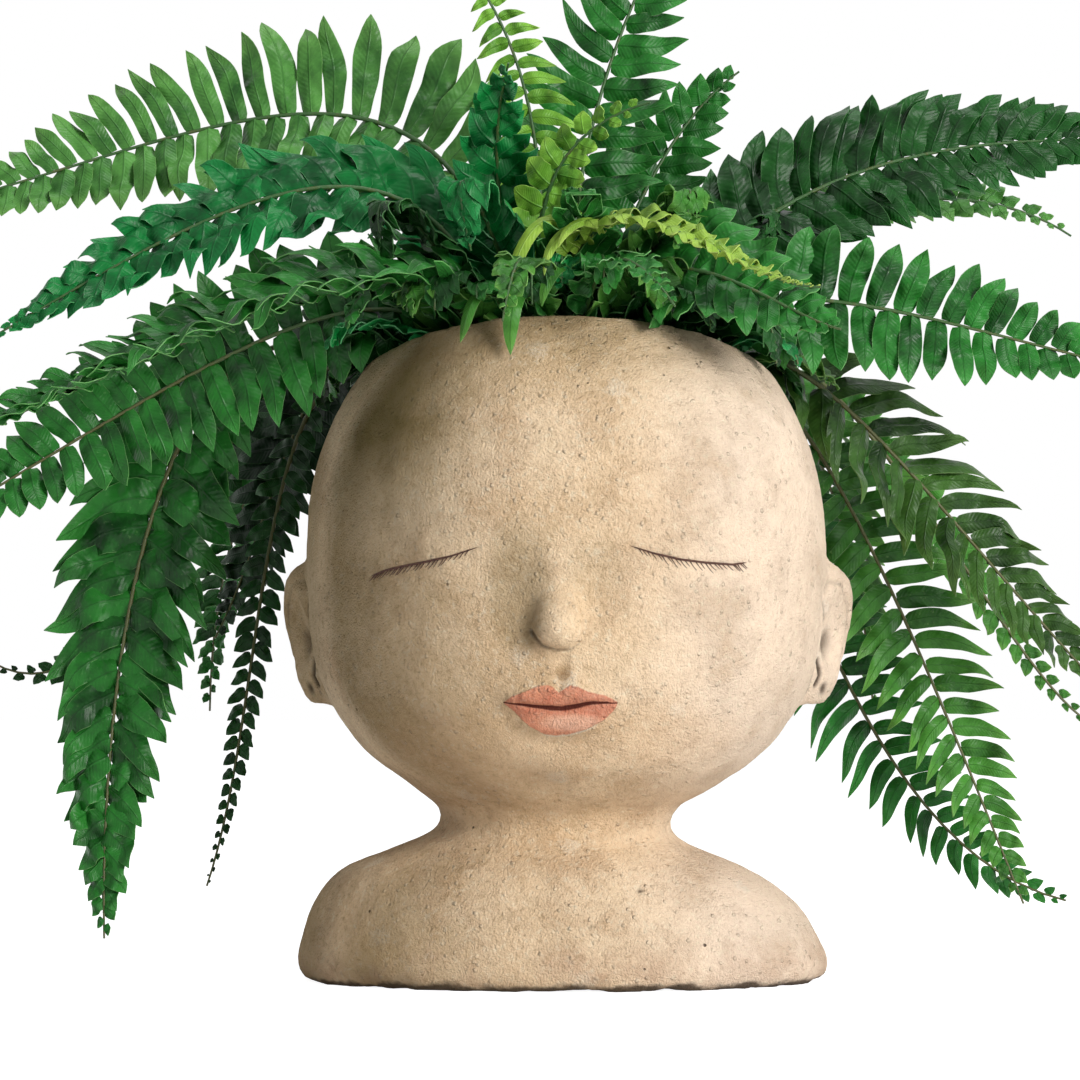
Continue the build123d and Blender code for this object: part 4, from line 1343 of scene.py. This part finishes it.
def makeSoil(values):
    soilLow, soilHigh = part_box("potting_mix")
    crownLow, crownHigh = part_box("fern_crown")
    middle = (soilLow + soilHigh) / 2
    soil = copyOfNode("potting_mix", "soil")
    remesh(soil, values["voxel"])
    points = pointsOf(soil)
    centre = np.array(middle)[:2]
    points[:, :2] = centre + (points[:, :2] - centre) * values["inset"]
    setPoints(soil, points)
    onTop = (points[:, 2] > soilHigh.z - values["topDepth"]).astype(float)
    roughen(soil, "soilLumps", values["lumpSize"], values["lumpHeight"], 0.55, 3, onTop, direction="Z")
    mixFinish, grainFinish = soilFinish("pottingMix", soilColours), soilFinish("paleGrains", grainColours)
    dress(soil, mixFinish)
    chance = random.Random(5)
    radii = ((crownHigh.x - crownLow.x) / 2, (soilHigh.x - soilLow.x) / 2 - values["wallGap"])
    crumbs = []
    for number, spot in enumerate(scatter(values["crumbs"], radii, soilHigh.z, chance)):
        turn = [chance.uniform(0, math.pi) for _ in range(3)]
        size = chance.uniform(*values["crumbSize"])
        place = (middle.x + spot.x, middle.y + spot.y, spot.z + values["crumbRise"])
        crumb = addObject(bpy.ops.mesh.primitive_ico_sphere_add, subdivisions=1, radius=size, location=place,
                          rotation=turn, scale=(1, chance.uniform(0.6, 1), chance.uniform(0.5, 0.8)))
        dress(crumb, grainFinish if number < values["grains"] else mixFinish)
        applyPlace(crumb)
        crumbs.append(crumb)
    whole = joinAll([soil] + crumbs, "soil")
    shadeSmooth(whole, 40)
    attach(whole, "fern")
    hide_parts("potting_mix")


def soilFinish(name, colours):
    finish = Finish(name)
    place = finish.place()
    clod = finish.noise(place, 160, 4, 0.7)
    fibre = finish.noise(place, (900, 260, 900), 3, 0.6)
    body = finish.mix(clod.ramp(0.35, 0.65), colours[0], colours[1])
    body = finish.mix(fibre.ramp(0.58, 0.70) * 0.6, body, colours[2])
    relief = clod + fibre * 0.5
    return finish.close(Base_Color=body, Roughness=0.97 - 0.1 * clod, Normal=finish.bump(relief, 0.0015),
                        Specular_IOR_Level=0.15)


soilColours = (paint(38, 27, 18), paint(70, 50, 33), paint(112, 82, 52))
grainColours = (paint(196, 190, 178), paint(226, 222, 212), paint(170, 160, 140))
crownColours = (paint(44, 30, 18), paint(84, 62, 36), paint(128, 100, 62))
makeSoil(soilValues)
print("soil laid")

stumpValues = {
    "voxel": 0.0018,
    "lumpSize": 0.006,
    "lumpHeight": 0.0034,
    "stumps": 90,  # the cut feet of old fronds
    "length": (0.006, 0.015),
    "thickness": 0.0026,
    "splay": 0.9,  # how far the outer ones lean out
    "bared": 0.35,  # the share of its length from the crown's skin to a stump's middle
}


def makeStump(values):
    crownLow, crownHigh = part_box("fern_crown")
    middle = (crownLow + crownHigh) / 2
    radius = (crownHigh.x - crownLow.x) / 2
    crown = copyOfNode("fern_crown", "fibrous_crown")
    remesh(crown, values["voxel"])
    roughen(crown, "crownLumps", values["lumpSize"], values["lumpHeight"], 0.6, 3)
    skin = BVHTree.FromObject(crown, bpy.context.evaluated_depsgraph_get())
    chance = random.Random(11)
    stumps = [crown]
    for spot in scatter(values["stumps"], (0.004, radius - 0.001), crownHigh.z + 0.02, chance):
        start = Vector((middle.x + spot.x, middle.y + spot.y, spot.z))
        seat, normal, _, _ = skin.ray_cast(start, Vector((0, 0, -1)))
        lean = Vector((spot.x, spot.y, 0)) / radius
        ahead = (Vector((0, 0, 1)) + lean * values["splay"] + normal * 0.3).normalized()
        length = chance.uniform(*values["length"])
        stump = addObject(bpy.ops.mesh.primitive_cone_add, vertices=6, radius1=values["thickness"] / 2,
                          radius2=values["thickness"] / 3, depth=length,
                          location=seat + ahead * length * values["bared"],
                          rotation=ahead.to_track_quat("Z", "Y").to_euler())
        applyPlace(stump)
        stumps.append(stump)
    whole = joinAll(stumps, "fibrous_crown")
    dress(whole, soilFinish("crownFibre", crownColours))
    shadeSmooth(whole, 50)
    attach(whole, "fern")
    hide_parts("fern_crown")


makeStump(stumpValues)
print("crown grown")


def linerFinish():  # thin black plastic, dusty with old mix
    finish = Finish("linerPlastic")
    place = finish.place()
    dust = finish.noise(place, 60, 5, 0.7)
    scuff = finish.noise(place, (40, 40, 900), 3, 0.6)
    body = finish.mix(dust.ramp(0.48, 0.72) * 0.55, paint(30, 31, 32), paint(92, 78, 62))
    body = finish.mix(scuff.ramp(0.60, 0.72) * 0.35, body, paint(70, 72, 74))
    normal = finish.bump(scuff + dust, 0.0004)
    return finish.close(Base_Color=body, Roughness=0.42 + 0.3 * dust, Normal=normal)


dress(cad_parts["nursery_pot"], linerFinish())
print("pot finished")
